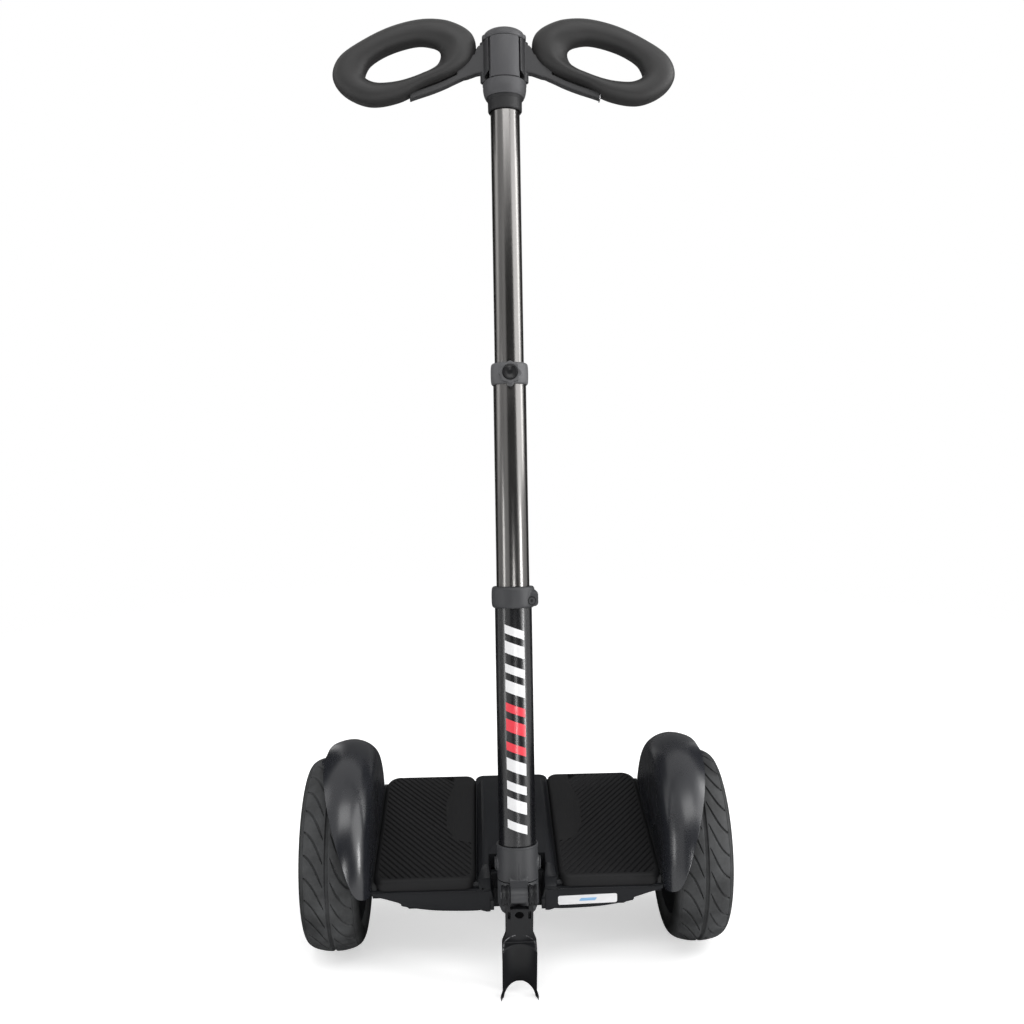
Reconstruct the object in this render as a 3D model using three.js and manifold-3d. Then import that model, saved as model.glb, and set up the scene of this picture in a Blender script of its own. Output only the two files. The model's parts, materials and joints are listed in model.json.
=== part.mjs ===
// Self balancing personal transporter, parked on its fold-down stand.
// Millimetres, +Z up. The front faces -Y and the right-hand wheel is at +X.
// The origin ends on the floor, under the middle of the outside box.

import * as THREE from 'three';
import { mergeVertices } from 'three/addons/utils/BufferGeometryUtils.js';
import Module from 'manifold-3d';

const wasm = await Module();
wasm.setup();

// Angles in degrees and counts
const NOSE_DOWN = 6;
const COLUMN_LEAN = 18;
const STAND_SWING = 205;
const GROOVE_TURN = 52;
const ROUND_SIDES = 24;
const SMALL_SIDES = 12;
const WHEEL_SIDES = 36;
const COVER_SLOTS = 9;
const ARC_STEPS = 3;
const RING_SIDES = 10;
const RING_STEPS = 39;
const CORE_SIDES = 4;

// Fits
const GAP = 0.3;
const OVERRUN = 6;
const WELD = 0.001;

// Wheels
const wheel = {
  radius: 125,
  width: 74,
  clearance: 22,
  beadRadius: 84,
  beadHalf: 28,
  flangeRadius: 90,
  flangeWidth: 3,
  rubber: 7,
  grooveDepth: 3,
  grooveHalf: 3.2,
  hubHalf: 25,
  coverRadius: 68,
  coverThickness: 5,
  coverDish: 3,
  ribWidth: 7,
  ribDepth: 2,
};
const axle = { radius: 8, inside: 50, outside: 12 };
// across and up, as shares of half the width and of the rise from bead to crown
const tyreOuterShares = [
  [0.94, 0.3], [1, 0.54], [0.93, 0.75], [0.68, 0.91], [0.34, 0.98], [0.13, 1],
];

// Chassis, with the wheel axis as the zero of height
const deck = {
  half: 178,
  middleY: 14,
  depth: 240,
  top: 21.5,
  wall: 4,
  corner: 20,
  hullDrop: 50,
};
// front to middle, as shares of half the depth and of the drop of the hull
const hullShares = [
  [1, 0], [1, 0.16], [0.93, 0.36], [0.72, 0.8], [0.6, 1],
];
const notch = { half: 30, topHalf: 36, hullBack: 19, tunnelBack: 31 };
const chin = { half: 47, tip: 36, reach: 14, drop: 14, root: 10 };
const mat = {
  inner: 52,
  side: 1.5,
  rise: 8.5,
  lip: 4.7,
  lipDrop: 6,
  edge: 2,
  corner: 12,
  clipX: 15,
  clipY: 22,
  grooveWidth: 2.2,
  grooveDepth: 1.3,
  groovePitch: 6.8,
  border: 6,
};
// the edge of a mat's plain zone, as shares of its width and depth from the inner rear corner
const plainShares = [[0, 0.7], [0.2, 0.66], [0.3, 0.55], [0.32, 0.3], [0.24, 0.12], [0.24, 0]];
const tunnel = {
  flange: 7,
  height: 20,
  topHalf: 42,
  frontRun: 2,
  rearRun: 22,
  slopeRun: 8,
  wall: 4,
};
const bumper = { thickness: 4.7, side: 10 };
// the lower edge of a bumper, as shares of the way out and of the drop of the chin
const bumperShares = [[0, 0.7], [0.45, 0.45], [0.84, 0], [1, -0.45]];
const lamp = { width: 34, height: 7, thickness: 3 };
const port = { radius: 9, thickness: 4 };
const fender = {
  wall: 3,
  axleClear: 24,
  wallRadius: 116,
  domeRadius: 147,
  width: 74,
  bulge: 5,
  foot: 2,
};
// across from the wall face and out from the wall radius, as shares of the width and the dome
const fenderShares = [
  [0, 0], [-0.05, 0.28], [-0.068, 0.52], [-0.04, 0.74], [0.055, 0.92], [0.2, 1], [0.44, 1.02],
  [0.68, 0.94], [0.87, 0.8], [1, 0.62],
];
// the outer lip in front view, as shares of the width and of the dome radius
const lipShares = [
  [0.06, 0.13], [0.13, 0.17], [0.34, 0.36], [0.585, 0.6], [0.72, 0.76], [0.84, 0.875], [0.93, 0.94], [1, 1],
];
const battery = { inner: 35, depth: 106, height: 36, y: 1, corner: 6 };
const board = { inner: 35, depth: 106, height: 14, fin: 4, fins: 7, y: 1 };
const clamp = { inside: 46, room: 7, width: 36, depth: 40 };
const bearing = { width: 46, length: 18, top: 16, firstY: -44, secondY: 0 };
const stop = { width: 20, length: 14, height: 20, spread: 13, y: -22 };

// Steering shaft and its lever
const shaft = { radius: 11, end: 14 };
const lever = { hub: 18, length: 12, armHalf: 5, armDrop: 34 };

// Column, measured along its own axis from the middle of its base collar
const column = { baseY: -112, baseZ: 49.7 };
const lowCollar = {
  radius: 27, foot: 321, height: 26, edge: 3, lug: 9, lugX: 20.2, lugFront: 18.9, lugBack: 9.5,
  screw: 4.2, screwX: 22.1, screwHead: 2.5, seat: 15, overlap: 59,
};
const midCollar = {
  radius: 23.5, foot: 597, height: 27, edge: 3.5, boss: 12.5, bossReach: 5, buttonRadius: 9,
  seat: 14, overlap: 57,
};
const lowerTube = { radius: 23, wall: 2.2, foot: -42, top: lowCollar.foot + lowCollar.seat };
const middleTube = {
  radius: 20.5, wall: 1.9, foot: lowCollar.foot - lowCollar.overlap, top: midCollar.foot + midCollar.seat,
};
const upperTube = { radius: 18.25, wall: 1.8, foot: midCollar.foot - midCollar.overlap, top: 990 };
const socket = { radius: 25.4, foot: -60, top: -15, bossRadius: 19, bossLength: 9 };
// the bowl of the socket, as shares of its radius across and up from its foot
const bowlShares = [[0, 0], [0.55, 0.05], [0.84, 0.24], [1, 0.6]];
const baseCollar = { radius: 25.4, foot: -14, top: 29, lip: 1.2, boltZ: 4, boltRadius: 9, boltHead: 1.5 };
const pivot = {
  forward: 36, z: -24, barrel: 9.5, barrelHalf: 11, disc: 11, discWidth: 10.4, ring: 1.4, pin: 4,
};
const stand = {
  neckFoot: 19,
  neckLength: 61,
  neckHalf: 17,
  neckThickness: 7,
  hole: 5.5,
  holeAt: 30,
  shoulder: 14,
  length: 162,
  channelRadius: 26.4,
  channelWall: 2.8,
  bodyHalf: 21.4,
  flare: 1.2,
  flareHalf: 25.8,
  flareLength: 26,
  archHalf: 15,
  archRise: 8,
};
const button = { reach: 2, depth: 4, dish: 1.4, travel: 3 };
const sleeve = { height: 17, topRadius: 24.4, wall: 1.6 };
const head = {
  overlap: 35,
  skirt: 20,
  height: 71,
  radius: 27,
  coreRadius: 24,
  coreHalf: 18,
  coverHalf: 17.4,
  chamfer: 3,
};
const cap = { rim: 5.5, dome: 8.5, radius: 26 };
// the dome of the cap, as shares of its radius and of its rise
const capShares = [[1, 0], [0.85, 0.55], [0.5, 0.9], [0, 1]];
const hinge = { x: 24.5, pin: 3, barrel: 5.7, seat: 5 };
const arm = { thickness: 10, rootInner: 28, rootOuter: 35, bar: 8, seat: 14, room: 4 };
const ring = { x: 124.5, rise: 25, reach: 90, half: 16.8, core: 5 };
// the outside and the hole of a ring, and the bar under it, as shares of the ring's reach
const ringShares = [
  [0.99, -0.2], [0.9, 0.07], [0.58, 0.3], [0.16, 0.5], [-0.29, 0.6], [-0.69, 0.56], [-0.95, 0.4],
  [-0.98, 0.11], [-0.76, -0.12], [-0.29, -0.33], [0.09, -0.52], [0.49, -0.58], [0.83, -0.44],
];
const holeShares = [
  [0.54, -0.16], [0.46, -0.01], [0.27, 0.12], [0.04, 0.21], [-0.2, 0.26], [-0.39, 0.23], [-0.5, 0.14],
  [-0.46, -0.01], [-0.3, -0.13], [-0.09, -0.22], [0.14, -0.27], [0.37, -0.28], [0.51, -0.23],
];
const barShares = [
  [-1.03, -0.06], [-0.84, -0.16], [-0.69, -0.23], [-0.54, -0.3], [-0.36, -0.37], [-0.16, -0.44],
];

const material = (color, roughness, metalness) => (
  new THREE.MeshStandardMaterial({ color, roughness, metalness }));
const look = {
  tyre: material(0x1d1d1f, 0.9, 0),
  casting: material(0x2b2d30, 0.45, 0.6),
  shell: material(0x1b1d20, 0.55, 0),
  fender: material(0x25272b, 0.35, 0),
  rubber: material(0x121213, 0.85, 0),
  lowerTube: material(0x0e0f12, 0.2, 0.5),
  tube: material(0x4a4c4f, 0.22, 0.9),
  plastic: material(0x4b4d50, 0.6, 0),
  gloss: material(0x0a0a0b, 0.15, 0),
  foam: material(0x232425, 0.95, 0),
  steel: material(0x8e9297, 0.3, 1),
  lamp: material(0x5a0d0d, 0.25, 0),
  board: material(0x1c4a33, 0.6, 0),
  cell: material(0x2f4f86, 0.5, 0),
};

const radians = THREE.MathUtils.degToRad;
const turnedX = (geometry, degrees) => geometry.clone().rotateX(radians(degrees));
const turnedY = (geometry, degrees) => geometry.clone().rotateY(radians(degrees));
const turnedZ = (geometry, degrees) => geometry.clone().rotateZ(radians(degrees));
const moved = (geometry, x, y, z) => geometry.clone().translate(x, y, z);
const flipped = (geometry) => geometry.clone().scale(-1, 1, 1);

// The signed volume says whether the faces point out.
function facesOut(vertices, triangles) {
  let sum = 0;
  for (let i = 0; i < triangles.length; i += 3) {
    const [a, b, c] = [0, 1, 2].map((k) => new THREE.Vector3().fromArray(vertices, 3 * triangles[i + k]));
    sum += a.dot(b.cross(c));
  }
  return sum > 0;
}

function toSolid(geometry) {
  const bare = new THREE.BufferGeometry();
  bare.setAttribute('position', geometry.getAttribute('position').clone());
  if (geometry.index) {
    bare.setIndex(geometry.index.clone());
  }
  const merged = mergeVertices(bare, WELD);
  const vertProperties = new Float32Array(merged.getAttribute('position').array);
  const triVerts = new Uint32Array(merged.index.array);
  if (!facesOut(vertProperties, triVerts)) {
    triVerts.reverse();
  }
  return new wasm.Manifold(new wasm.Mesh({ numProp: 3, vertProperties, triVerts }));
}

function toGeometry(solid) {
  const mesh = solid.getMesh();
  const geometry = new THREE.BufferGeometry();
  geometry.setAttribute('position', new THREE.BufferAttribute(new Float32Array(mesh.vertProperties), 3));
  geometry.setIndex(new THREE.BufferAttribute(new Uint32Array(mesh.triVerts), 1));
  return geometry;
}

const join = (...pieces) => toGeometry(pieces.map(toSolid).reduce((a, b) => a.add(b)));
const cut = (base, ...tools) => toGeometry(tools.map(toSolid).reduce((a, b) => a.subtract(b), toSolid(base)));
const common = (...pieces) => toGeometry(pieces.map(toSolid).reduce((a, b) => a.intersect(b)));

// A box between two corners.
function block(x0, x1, y0, y1, z0, z1) {
  const box = new THREE.BoxGeometry(x1 - x0, y1 - y0, z1 - z0);
  return box.translate((x0 + x1) / 2, (y0 + y1) / 2, (z0 + z1) / 2);
}

// A round bar along Z.
function rod(radius, z0, z1, sides = ROUND_SIDES) {
  const bar = new THREE.CylinderGeometry(radius, radius, z1 - z0, sides);
  return bar.rotateX(Math.PI / 2).translate(0, 0, (z0 + z1) / 2);
}

const rodX = (radius, x0, x1, sides = ROUND_SIDES) => rod(radius, x0, x1, sides).rotateY(Math.PI / 2);
const rodY = (radius, y0, y1, sides = ROUND_SIDES) => rod(radius, y0, y1, sides).rotateX(-Math.PI / 2);

// A profile of radius and height turned about Z.
function turned(profile, sides = ROUND_SIDES) {
  const points = profile.map(([radius, height]) => new THREE.Vector2(radius, height));
  return new THREE.LatheGeometry(points, sides).rotateX(Math.PI / 2);
}

// A flat outline given thickness along Z.
function slab(points, z0, z1) {
  const shape = new THREE.Shape(points.map(([x, y]) => new THREE.Vector2(x, y)));
  const geometry = new THREE.ExtrudeGeometry(shape, { depth: z1 - z0, bevelEnabled: false });
  return geometry.translate(0, 0, z0);
}

// An outline in Y and Z given width along X, and one in X and Z given depth along Y.
const slabX = (points, x0, x1) => slab(points, x0, x1).applyMatrix4(new THREE.Matrix4().set(
  0, 0, 1, 0, 1, 0, 0, 0, 0, 1, 0, 0, 0, 0, 0, 1));
const slabY = (points, y0, y1) => slab(points, -y1, -y0).rotateX(Math.PI / 2);

// A flat outline with a chamfer round its top and bottom.
function pillow(points, z0, z1, edge) {
  const shape = new THREE.Shape(points.map(([x, y]) => new THREE.Vector2(x, y)));
  const options = {
    depth: z1 - z0 - edge * 2, bevelThickness: edge, bevelSize: edge, bevelOffset: -edge, bevelSegments: 1,
  };
  return new THREE.ExtrudeGeometry(shape, options).translate(0, 0, z0 + edge);
}

// A rounded rectangle, softened on its top and bottom edges.
function cushion(x0, x1, y0, y1, z0, z1, corner, edge) {
  const shape = new THREE.Shape();
  const r = corner - edge;
  const [a, b, c, d] = [x0 + edge, x1 - edge, y0 + edge, y1 - edge];
  shape.absarc(b - r, d - r, r, 0, Math.PI / 2);
  shape.absarc(a + r, d - r, r, Math.PI / 2, Math.PI);
  shape.absarc(a + r, c + r, r, Math.PI, Math.PI * 3 / 2);
  shape.absarc(b - r, c + r, r, Math.PI * 3 / 2, Math.PI * 2);
  const options = {
    depth: z1 - z0 - edge * 2,
    bevelThickness: edge,
    bevelSize: edge,
    bevelSegments: 1,
    curveSegments: ARC_STEPS,
  };
  return new THREE.ExtrudeGeometry(shape, options).translate(0, 0, z0 + edge);
}

// The tyres rest on one of their flats.
const axleHeight = wheel.radius * Math.cos(Math.PI / WHEEL_SIDES);

const transporter = new THREE.Group();
const chassis = new THREE.Group();
chassis.position.z = axleHeight;
chassis.rotation.x = radians(NOSE_DOWN);
const steering = new THREE.Group();
steering.position.set(0, column.baseY, column.baseZ);
steering.rotation.x = radians(-COLUMN_LEAN);
chassis.add(steering);
const wheels = new THREE.Group();
wheels.position.z = axleHeight;
wheels.rotation.x = Math.PI / WHEEL_SIDES;
transporter.add(chassis, wheels);

function place(name, geometry, finish, group = chassis) {
  const closed = join(geometry);
  closed.computeVertexNormals();
  const mesh = new THREE.Mesh(closed, finish);
  mesh.name = name;
  group.add(mesh);
}

// The right-hand piece and its mirror image.
function placePair(name, geometry, finish, group = chassis) {
  place(`${name}_right`, geometry, finish, group);
  place(`${name}_left`, flipped(geometry), finish, group);
}

// Wheels

const wheelPlane = deck.half + wheel.clearance + wheel.width / 2;
const fenderFace = deck.half + GAP;

function tyre() {
  const half = wheel.width / 2;
  const rise = wheel.radius - wheel.beadRadius;
  const point = ([across, up]) => [wheel.beadRadius + up * rise, across * half];
  const crown = tyreOuterShares.map(point);
  const seat = [wheel.flangeRadius + GAP, wheel.beadHalf];
  const bead = [wheel.beadRadius, wheel.beadHalf];
  const edge = [crown.at(-1)[0] - wheel.grooveDepth, wheel.grooveHalf];
  const inside = [
    [wheel.beadRadius, wheel.beadHalf - wheel.rubber],
    [wheel.beadRadius + rise / 2, half - wheel.rubber],
    [wheel.radius - wheel.rubber * 2, half - wheel.rubber * 2],
  ];
  const oneSide = [bead, seat, ...crown, edge];
  const mirror = ([radius, x]) => [radius, -x];
  const outer = [...oneSide, ...oneSide.map(mirror).reverse()];
  const inner = [...inside.map(mirror), ...inside.slice().reverse()];
  return turned([...outer, ...inner, bead], WHEEL_SIDES).rotateY(Math.PI / 2);
}

function rim() {
  const seat = wheel.beadRadius - GAP;
  const edge = wheel.beadHalf + GAP;
  const boreEnd = axle.outside + GAP;
  return turned([
    [0, boreEnd],
    [axle.radius + GAP, boreEnd],
    [axle.radius + GAP, -wheel.hubHalf],
    [seat - wheel.rubber, -edge - wheel.flangeWidth],
    [wheel.flangeRadius, -edge - wheel.flangeWidth],
    [wheel.flangeRadius, -edge],
    [seat, -edge],
    [seat, edge],
    [wheel.flangeRadius, edge],
    [wheel.flangeRadius, edge + wheel.flangeWidth],
    [seat - wheel.rubber, edge + wheel.flangeWidth],
    [seat - wheel.rubber, wheel.hubHalf],
    [0, wheel.hubHalf],
  ], WHEEL_SIDES).rotateY(Math.PI / 2);
}

function hubCover() {
  const face = wheel.hubHalf + GAP;
  const top = face + wheel.coverThickness;
  const disc = turned([
    [0, face],
    [wheel.coverRadius, face],
    [wheel.coverRadius, top - wheel.coverDish],
    [wheel.coverRadius - wheel.coverThickness, top],
    [wheel.coverRadius / 2, top],
    [wheel.coverRadius / 3, top - wheel.coverDish],
    [0, top - wheel.coverDish],
  ], WHEEL_SIDES).rotateY(Math.PI / 2);
  const slot = block(top - wheel.ribDepth, top + OVERRUN, -wheel.ribWidth / 2, wheel.ribWidth / 2,
    wheel.coverRadius / 2 + wheel.ribWidth / 2, wheel.coverRadius - wheel.coverThickness * 2);
  const slots = [];
  for (let i = 0; i < COVER_SLOTS; i += 1) {
    slots.push(turnedX(slot, i * 360 / COVER_SLOTS));
  }
  return cut(disc, ...slots);
}

placePair('tyre', moved(tyre(), wheelPlane, 0, 0), look.tyre, wheels);
placePair('wheel_hub', moved(rim(), wheelPlane, 0, 0), look.casting, wheels);
placePair('hub_cover', moved(hubCover(), wheelPlane, 0, 0), look.casting, wheels);
const axleBar = rodX(axle.radius, deck.half - axle.inside, wheelPlane + axle.outside, SMALL_SIDES);
placePair('axle', axleBar, look.steel);

// Chassis shells

const deckFront = deck.middleY - deck.depth / 2;
const deckRear = deck.middleY + deck.depth / 2;
const notchBack = deckFront + notch.hullBack;
const tunnelNotchBack = deckFront + notch.tunnelBack;
const bumperEnd = deck.half - bumper.side;
const clampInner = deck.half - clamp.inside;

function hullOutline(inset) {
  const half = deck.depth / 2 - inset;
  const front = hullShares.map(([y, drop]) => [deck.middleY - y * half, -drop * (deck.hullDrop - inset)]);
  const rear = front.map(([y, z]) => [deck.middleY * 2 - y, z]).reverse();
  return [...front, ...rear];
}

const axleHole = rodX(axle.radius + GAP, -deck.half - OVERRUN, deck.half + OVERRUN, SMALL_SIDES);
const shaftBore = (shaft.radius + GAP) / Math.cos(Math.PI / SMALL_SIDES);
const shaftHole = rodY(shaftBore, deckFront, notchBack + deck.wall + OVERRUN, SMALL_SIDES);
const deckTop = deck.top + GAP + tunnel.height;

// The room round the foot of the column widens upwards, so that the column can lean.
function stemRoomOutline(grow, low, high) {
  const widen = (notch.topHalf - notch.half) * high / deckTop;
  const [half, top] = [notch.half + grow, notch.half + grow + widen];
  return [[-half, low], [half, low], [half, 0], [top, high], [-top, high], [-half, 0]];
}

const stemRoom = slabY(stemRoomOutline(0, -deck.hullDrop - OVERRUN, deckTop + OVERRUN),
  deckFront - chin.reach - OVERRUN, notchBack);
const stemLining = slabY(stemRoomOutline(deck.wall, -deck.hullDrop, deck.top),
  deckFront + deck.wall, notchBack + deck.wall);

// The chin carries the shells forward on both sides of the column.
function chinBlock(z0, z1) {
  return slab([
    [-chin.half, deckFront + chin.root], [-chin.half, deckFront], [-chin.tip, deckFront - chin.reach],
    [chin.tip, deckFront - chin.reach], [chin.half, deckFront], [chin.half, deckFront + chin.root],
  ], z0, z1);
}

function hull() {
  const outer = slabX(hullOutline(0), -deck.half, deck.half);
  const room = slabX(hullOutline(deck.wall), -deck.half + deck.wall, deck.half - deck.wall);
  const body = join(cut(outer, room), common(stemLining, outer), chinBlock(-chin.drop, 0));
  const flat = block(-deck.half - OVERRUN, deck.half + OVERRUN, deckFront * 2, deckRear * 2,
    -GAP / 2, OVERRUN);
  return cut(body, stemRoom, flat, axleHole, shaftHole);
}

function deckShell() {
  const z0 = GAP / 2;
  const outer = cushion(-deck.half, deck.half, deckFront, deckRear, z0 - deck.wall, deck.top,
    deck.corner, deck.wall / 2);
  const room = block(-deck.half + deck.wall, deck.half - deck.wall, deckFront + deck.wall,
    deckRear - deck.wall, z0 - deck.wall - OVERRUN, deck.top - deck.wall);
  const lined = join(cut(outer, room), common(stemLining, outer), chinBlock(z0, deck.top));
  const below = block(-deck.half - OVERRUN, deck.half + OVERRUN, deckFront * 2,
    deckRear * 2, z0 - deck.wall - OVERRUN, z0);
  const well = block(-tunnel.topHalf, tunnel.topHalf, notchBack + deck.wall * 2,
    deckRear - tunnel.rearRun - deck.wall, -OVERRUN, deck.top + OVERRUN);
  return cut(lined, below, stemRoom, well, axleHole, shaftHole);
}

// The tunnel cover steps up between the mats and is open in front for the column.
function tunnelCover() {
  const z0 = deck.top + GAP;
  const half = mat.inner - GAP;
  const front = deckFront - mat.lip + GAP;
  const flange = cushion(-half, half, front, deckRear, z0, z0 + tunnel.flange, mat.corner, 1.5 * GAP);
  const step = z0 + tunnel.flange;
  const top = z0 + tunnel.height;
  const across = [
    [-half + tunnel.wall / 2, z0], [half - tunnel.wall / 2, z0], [half - tunnel.wall / 2, step],
    [tunnel.topHalf + tunnel.wall / 2, top - tunnel.wall / 2], [tunnel.topHalf - tunnel.wall / 2, top],
    [-tunnel.topHalf + tunnel.wall / 2, top], [-tunnel.topHalf - tunnel.wall / 2, top - tunnel.wall / 2],
    [-half + tunnel.wall / 2, step],
  ];
  const along = [
    [deckFront + tunnel.frontRun, z0], [deckRear - tunnel.rearRun, z0],
    [deckRear - tunnel.rearRun - tunnel.slopeRun, top + GAP],
    [deckFront + tunnel.frontRun + tunnel.slopeRun, top + GAP],
  ];
  const spine = common(slabY(across, front, deckRear), slabX(along, -half, half));
  const room = block(-tunnel.topHalf + tunnel.wall, tunnel.topHalf - tunnel.wall,
    tunnelNotchBack + tunnel.wall, deckRear - tunnel.rearRun - tunnel.slopeRun * 2,
    z0 - OVERRUN, top - tunnel.wall);
  const stem = slabY(stemRoomOutline(0, z0 - OVERRUN, top + OVERRUN),
    deckFront - chin.reach - OVERRUN, tunnelNotchBack);
  return cut(join(flange, spine, chinBlock(z0, step)), room, stem);
}

// A foot mat with its front lip, clipped outer corners and slanting grooves.
function footMat() {
  const z0 = deck.top + GAP;
  const z1 = z0 + mat.rise;
  const [x0, x1, y0, y1] = [mat.inner, deck.half - mat.side, deckFront - mat.lip, deckRear + GAP * 2];
  const r = mat.corner;
  const outline = [
    [x0 + r, y0], [x1 - mat.clipX, y0], [x1 - mat.clipX / 3, y0 + mat.clipY / 3], [x1, y0 + mat.clipY],
    [x1, y1 - mat.clipY], [x1 - mat.clipX / 3, y1 - mat.clipY / 3], [x1 - mat.clipX, y1],
    [x0 + r, y1], [x0 + r / 3, y1 - r / 3], [x0, y1 - r], [x0, y0 + r], [x0 + r / 3, y0 + r / 3],
  ];
  const plate = pillow(outline, z0, z1, mat.edge);
  const lip = block(x0 + r, x1 - mat.clipX, y0, deckFront - GAP, z0 - mat.lipDrop, z0 + GAP);
  const middle = [(x0 + x1) / 2, (y0 + y1) / 2];
  const reach = (x1 - x0 + y1 - y0) / 2;
  const bars = [];
  for (let at = -reach; at < reach; at += mat.groovePitch) {
    const bar = block(-reach, reach, -mat.grooveWidth / 2, mat.grooveWidth / 2,
      z1 - mat.grooveDepth, z1 + OVERRUN);
    bars.push(moved(turnedZ(moved(bar, 0, at, 0), GROOVE_TURN), middle[0], middle[1], 0));
  }
  const field = outline.map(([x, y]) => [
    middle[0] + (x - middle[0]) * (1 - mat.border * 2 / (x1 - x0)),
    middle[1] + (y - middle[1]) * (1 - mat.border * 2 / (y1 - y0)),
  ]);
  const [w, d] = [x1 - x0, y1 - y0];
  const edge = plainShares.map(([across, along]) => [x0 + across * w, y1 - along * d]);
  const plain = slab([
    [x0 - OVERRUN, y1 + OVERRUN], [x0 - OVERRUN, edge[0][1]], ...edge, [edge.at(-1)[0], y1 + OVERRUN],
  ], z0 - OVERRUN, z1 + OVERRUN * 2);
  const grooves = cut(common(join(...bars), slab(field, z0, z1 + OVERRUN)), plain);
  return cut(join(plate, lip), grooves);
}

function bumperStrip() {
  const top = deck.top - mat.lipDrop;
  const inner = chin.half + GAP;
  const y1 = deckFront - GAP;
  const edge = bumperShares.map(([out, drop]) => [inner + out * (bumperEnd - inner), -drop * chin.drop]);
  return slabY([[inner, top], ...edge, [bumperEnd, top]], y1 - bumper.thickness + GAP, y1);
}

function tailLamp() {
  const y0 = deckRear + GAP;
  const x0 = bumperEnd - lamp.width - lamp.height;
  const z0 = deck.top / 2 - lamp.height / 2;
  return block(x0, x0 + lamp.width, y0, y0 + lamp.thickness, z0, z0 + lamp.height);
}

place('hull_lower', hull(), look.shell);
place('deck_shell', deckShell(), look.shell);
place('tunnel_cover', tunnelCover(), look.shell);
placePair('foot_mat', footMat(), look.rubber);
placePair('front_bumper', bumperStrip(), look.shell);
placePair('tail_lamp', tailLamp(), look.lamp);
const portCap = rodY(port.radius, deckRear + GAP, deckRear + GAP + port.thickness, SMALL_SIDES);
place('charge_port_cap', moved(portCap, 0, 0, deck.top / 2), look.rubber);

// A fender is a domed crescent over the inner half of its tyre.
function fenderShell() {
  const dome = fender.domeRadius - fender.wallRadius;
  const outer = fenderShares.map(([across, out]) => [fender.wallRadius + out * dome, across * fender.width]);
  const inner = outer.map(([radius, x], i) => {
    const slope = Math.min(i / (outer.length / 2), 1);
    return [radius - fender.wall * slope, x + fender.wall * (1 - slope) * (1 + slope)];
  });
  inner[0] = [fender.wallRadius, fender.wall];
  const profile = [
    [fender.axleClear, 0], ...outer, ...inner.reverse(),
    [fender.axleClear, fender.wall], [fender.axleClear, 0],
  ];
  const shell = moved(turned(profile, WHEEL_SIDES).rotateY(Math.PI / 2), fenderFace, 0, 0);
  const lip = lipShares.map(([across, up]) => [
    fenderFace + across * fender.width, up * fender.domeRadius,
  ]);
  const high = fender.domeRadius + OVERRUN;
  const inward = fenderFace - fender.bulge * 3;
  const mask = slabY([
    [inward, fender.foot], [lip[0][0], fender.foot], ...lip,
    [fenderFace + fender.width + OVERRUN, high], [inward, high],
  ], -high, high);
  const deckSide = block(inward, fenderFace, -high, high, fender.foot - OVERRUN,
    deck.top + mat.rise + GAP * 2);
  return cut(common(shell, mask), deckSide);
}

placePair('fender', fenderShell(), look.fender);

// Inside the hull

const floor = -deck.hullDrop + deck.wall + GAP;

function axleClamp() {
  const body = block(clampInner, clampInner + clamp.width, -clamp.depth / 2, clamp.depth / 2,
    floor, deck.top - deck.wall - GAP);
  return cut(body, axleHole);
}

function bearingBlock(y) {
  const body = block(-bearing.width / 2, bearing.width / 2, y - bearing.length / 2, y + bearing.length / 2,
    floor, bearing.top);
  return cut(body, rodY(shaftBore, y - bearing.length, y + bearing.length, SMALL_SIDES));
}

placePair('axle_clamp', axleClamp(), look.casting);
place('battery_pack', cushion(clamp.room - clampInner, -battery.inner, battery.y - battery.depth / 2,
  battery.y + battery.depth / 2, floor, floor + battery.height, battery.corner, GAP), look.cell);

function controlBoard() {
  const [x0, x1] = [board.inner, clampInner - clamp.room];
  const [y0, y1] = [board.y - board.depth / 2, board.y + board.depth / 2];
  const base = block(x0, x1, y0, y1, floor, floor + board.height / 2);
  const pitch = (x1 - x0 - board.fin) / (board.fins - 1);
  const fins = [];
  for (let i = 0; i < board.fins; i += 1) {
    const x = x0 + i * pitch;
    fins.push(block(x, x + board.fin, y0, y1, floor + board.height / 4, floor + board.height));
  }
  return join(base, ...fins);
}

place('control_board', controlBoard(), look.board);
place('steer_bearing_front', bearingBlock(bearing.firstY), look.casting);
place('steer_bearing_rear', bearingBlock(bearing.secondY), look.casting);
placePair('lean_stop', block(stop.spread, stop.spread + stop.width, stop.y - stop.length / 2,
  stop.y + stop.length / 2, floor, floor + stop.height), look.rubber);

// Steering shaft, along the deck

const bossFace = notchBack - deck.wall * 0.5;
const shaftFront = bossFace - socket.bossLength + GAP * 2;
place('steer_shaft', rodY(shaft.radius, shaftFront, shaft.end, SMALL_SIDES), look.steel);

function steerLever() {
  const [y0, y1] = [stop.y - lever.length / 2, stop.y + lever.length / 2];
  const hub = rodY(lever.hub, y0, y1, SMALL_SIDES);
  const leg = block(-lever.armHalf, lever.armHalf, y0, y1, -lever.armDrop, 0);
  return cut(join(hub, leg), rodY(shaft.radius + GAP, y0 - OVERRUN, y1 + OVERRUN, SMALL_SIDES));
}

place('steer_lever', steerLever(), look.casting);

// A shape made along the deck, brought into the frame of the column.
function intoColumn(geometry) {
  const still = new THREE.Matrix4().makeTranslation(0, -column.baseY, -column.baseZ);
  const turn = new THREE.Matrix4().makeRotationX(radians(COLUMN_LEAN));
  return geometry.clone().applyMatrix4(still).applyMatrix4(turn);
}

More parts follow.
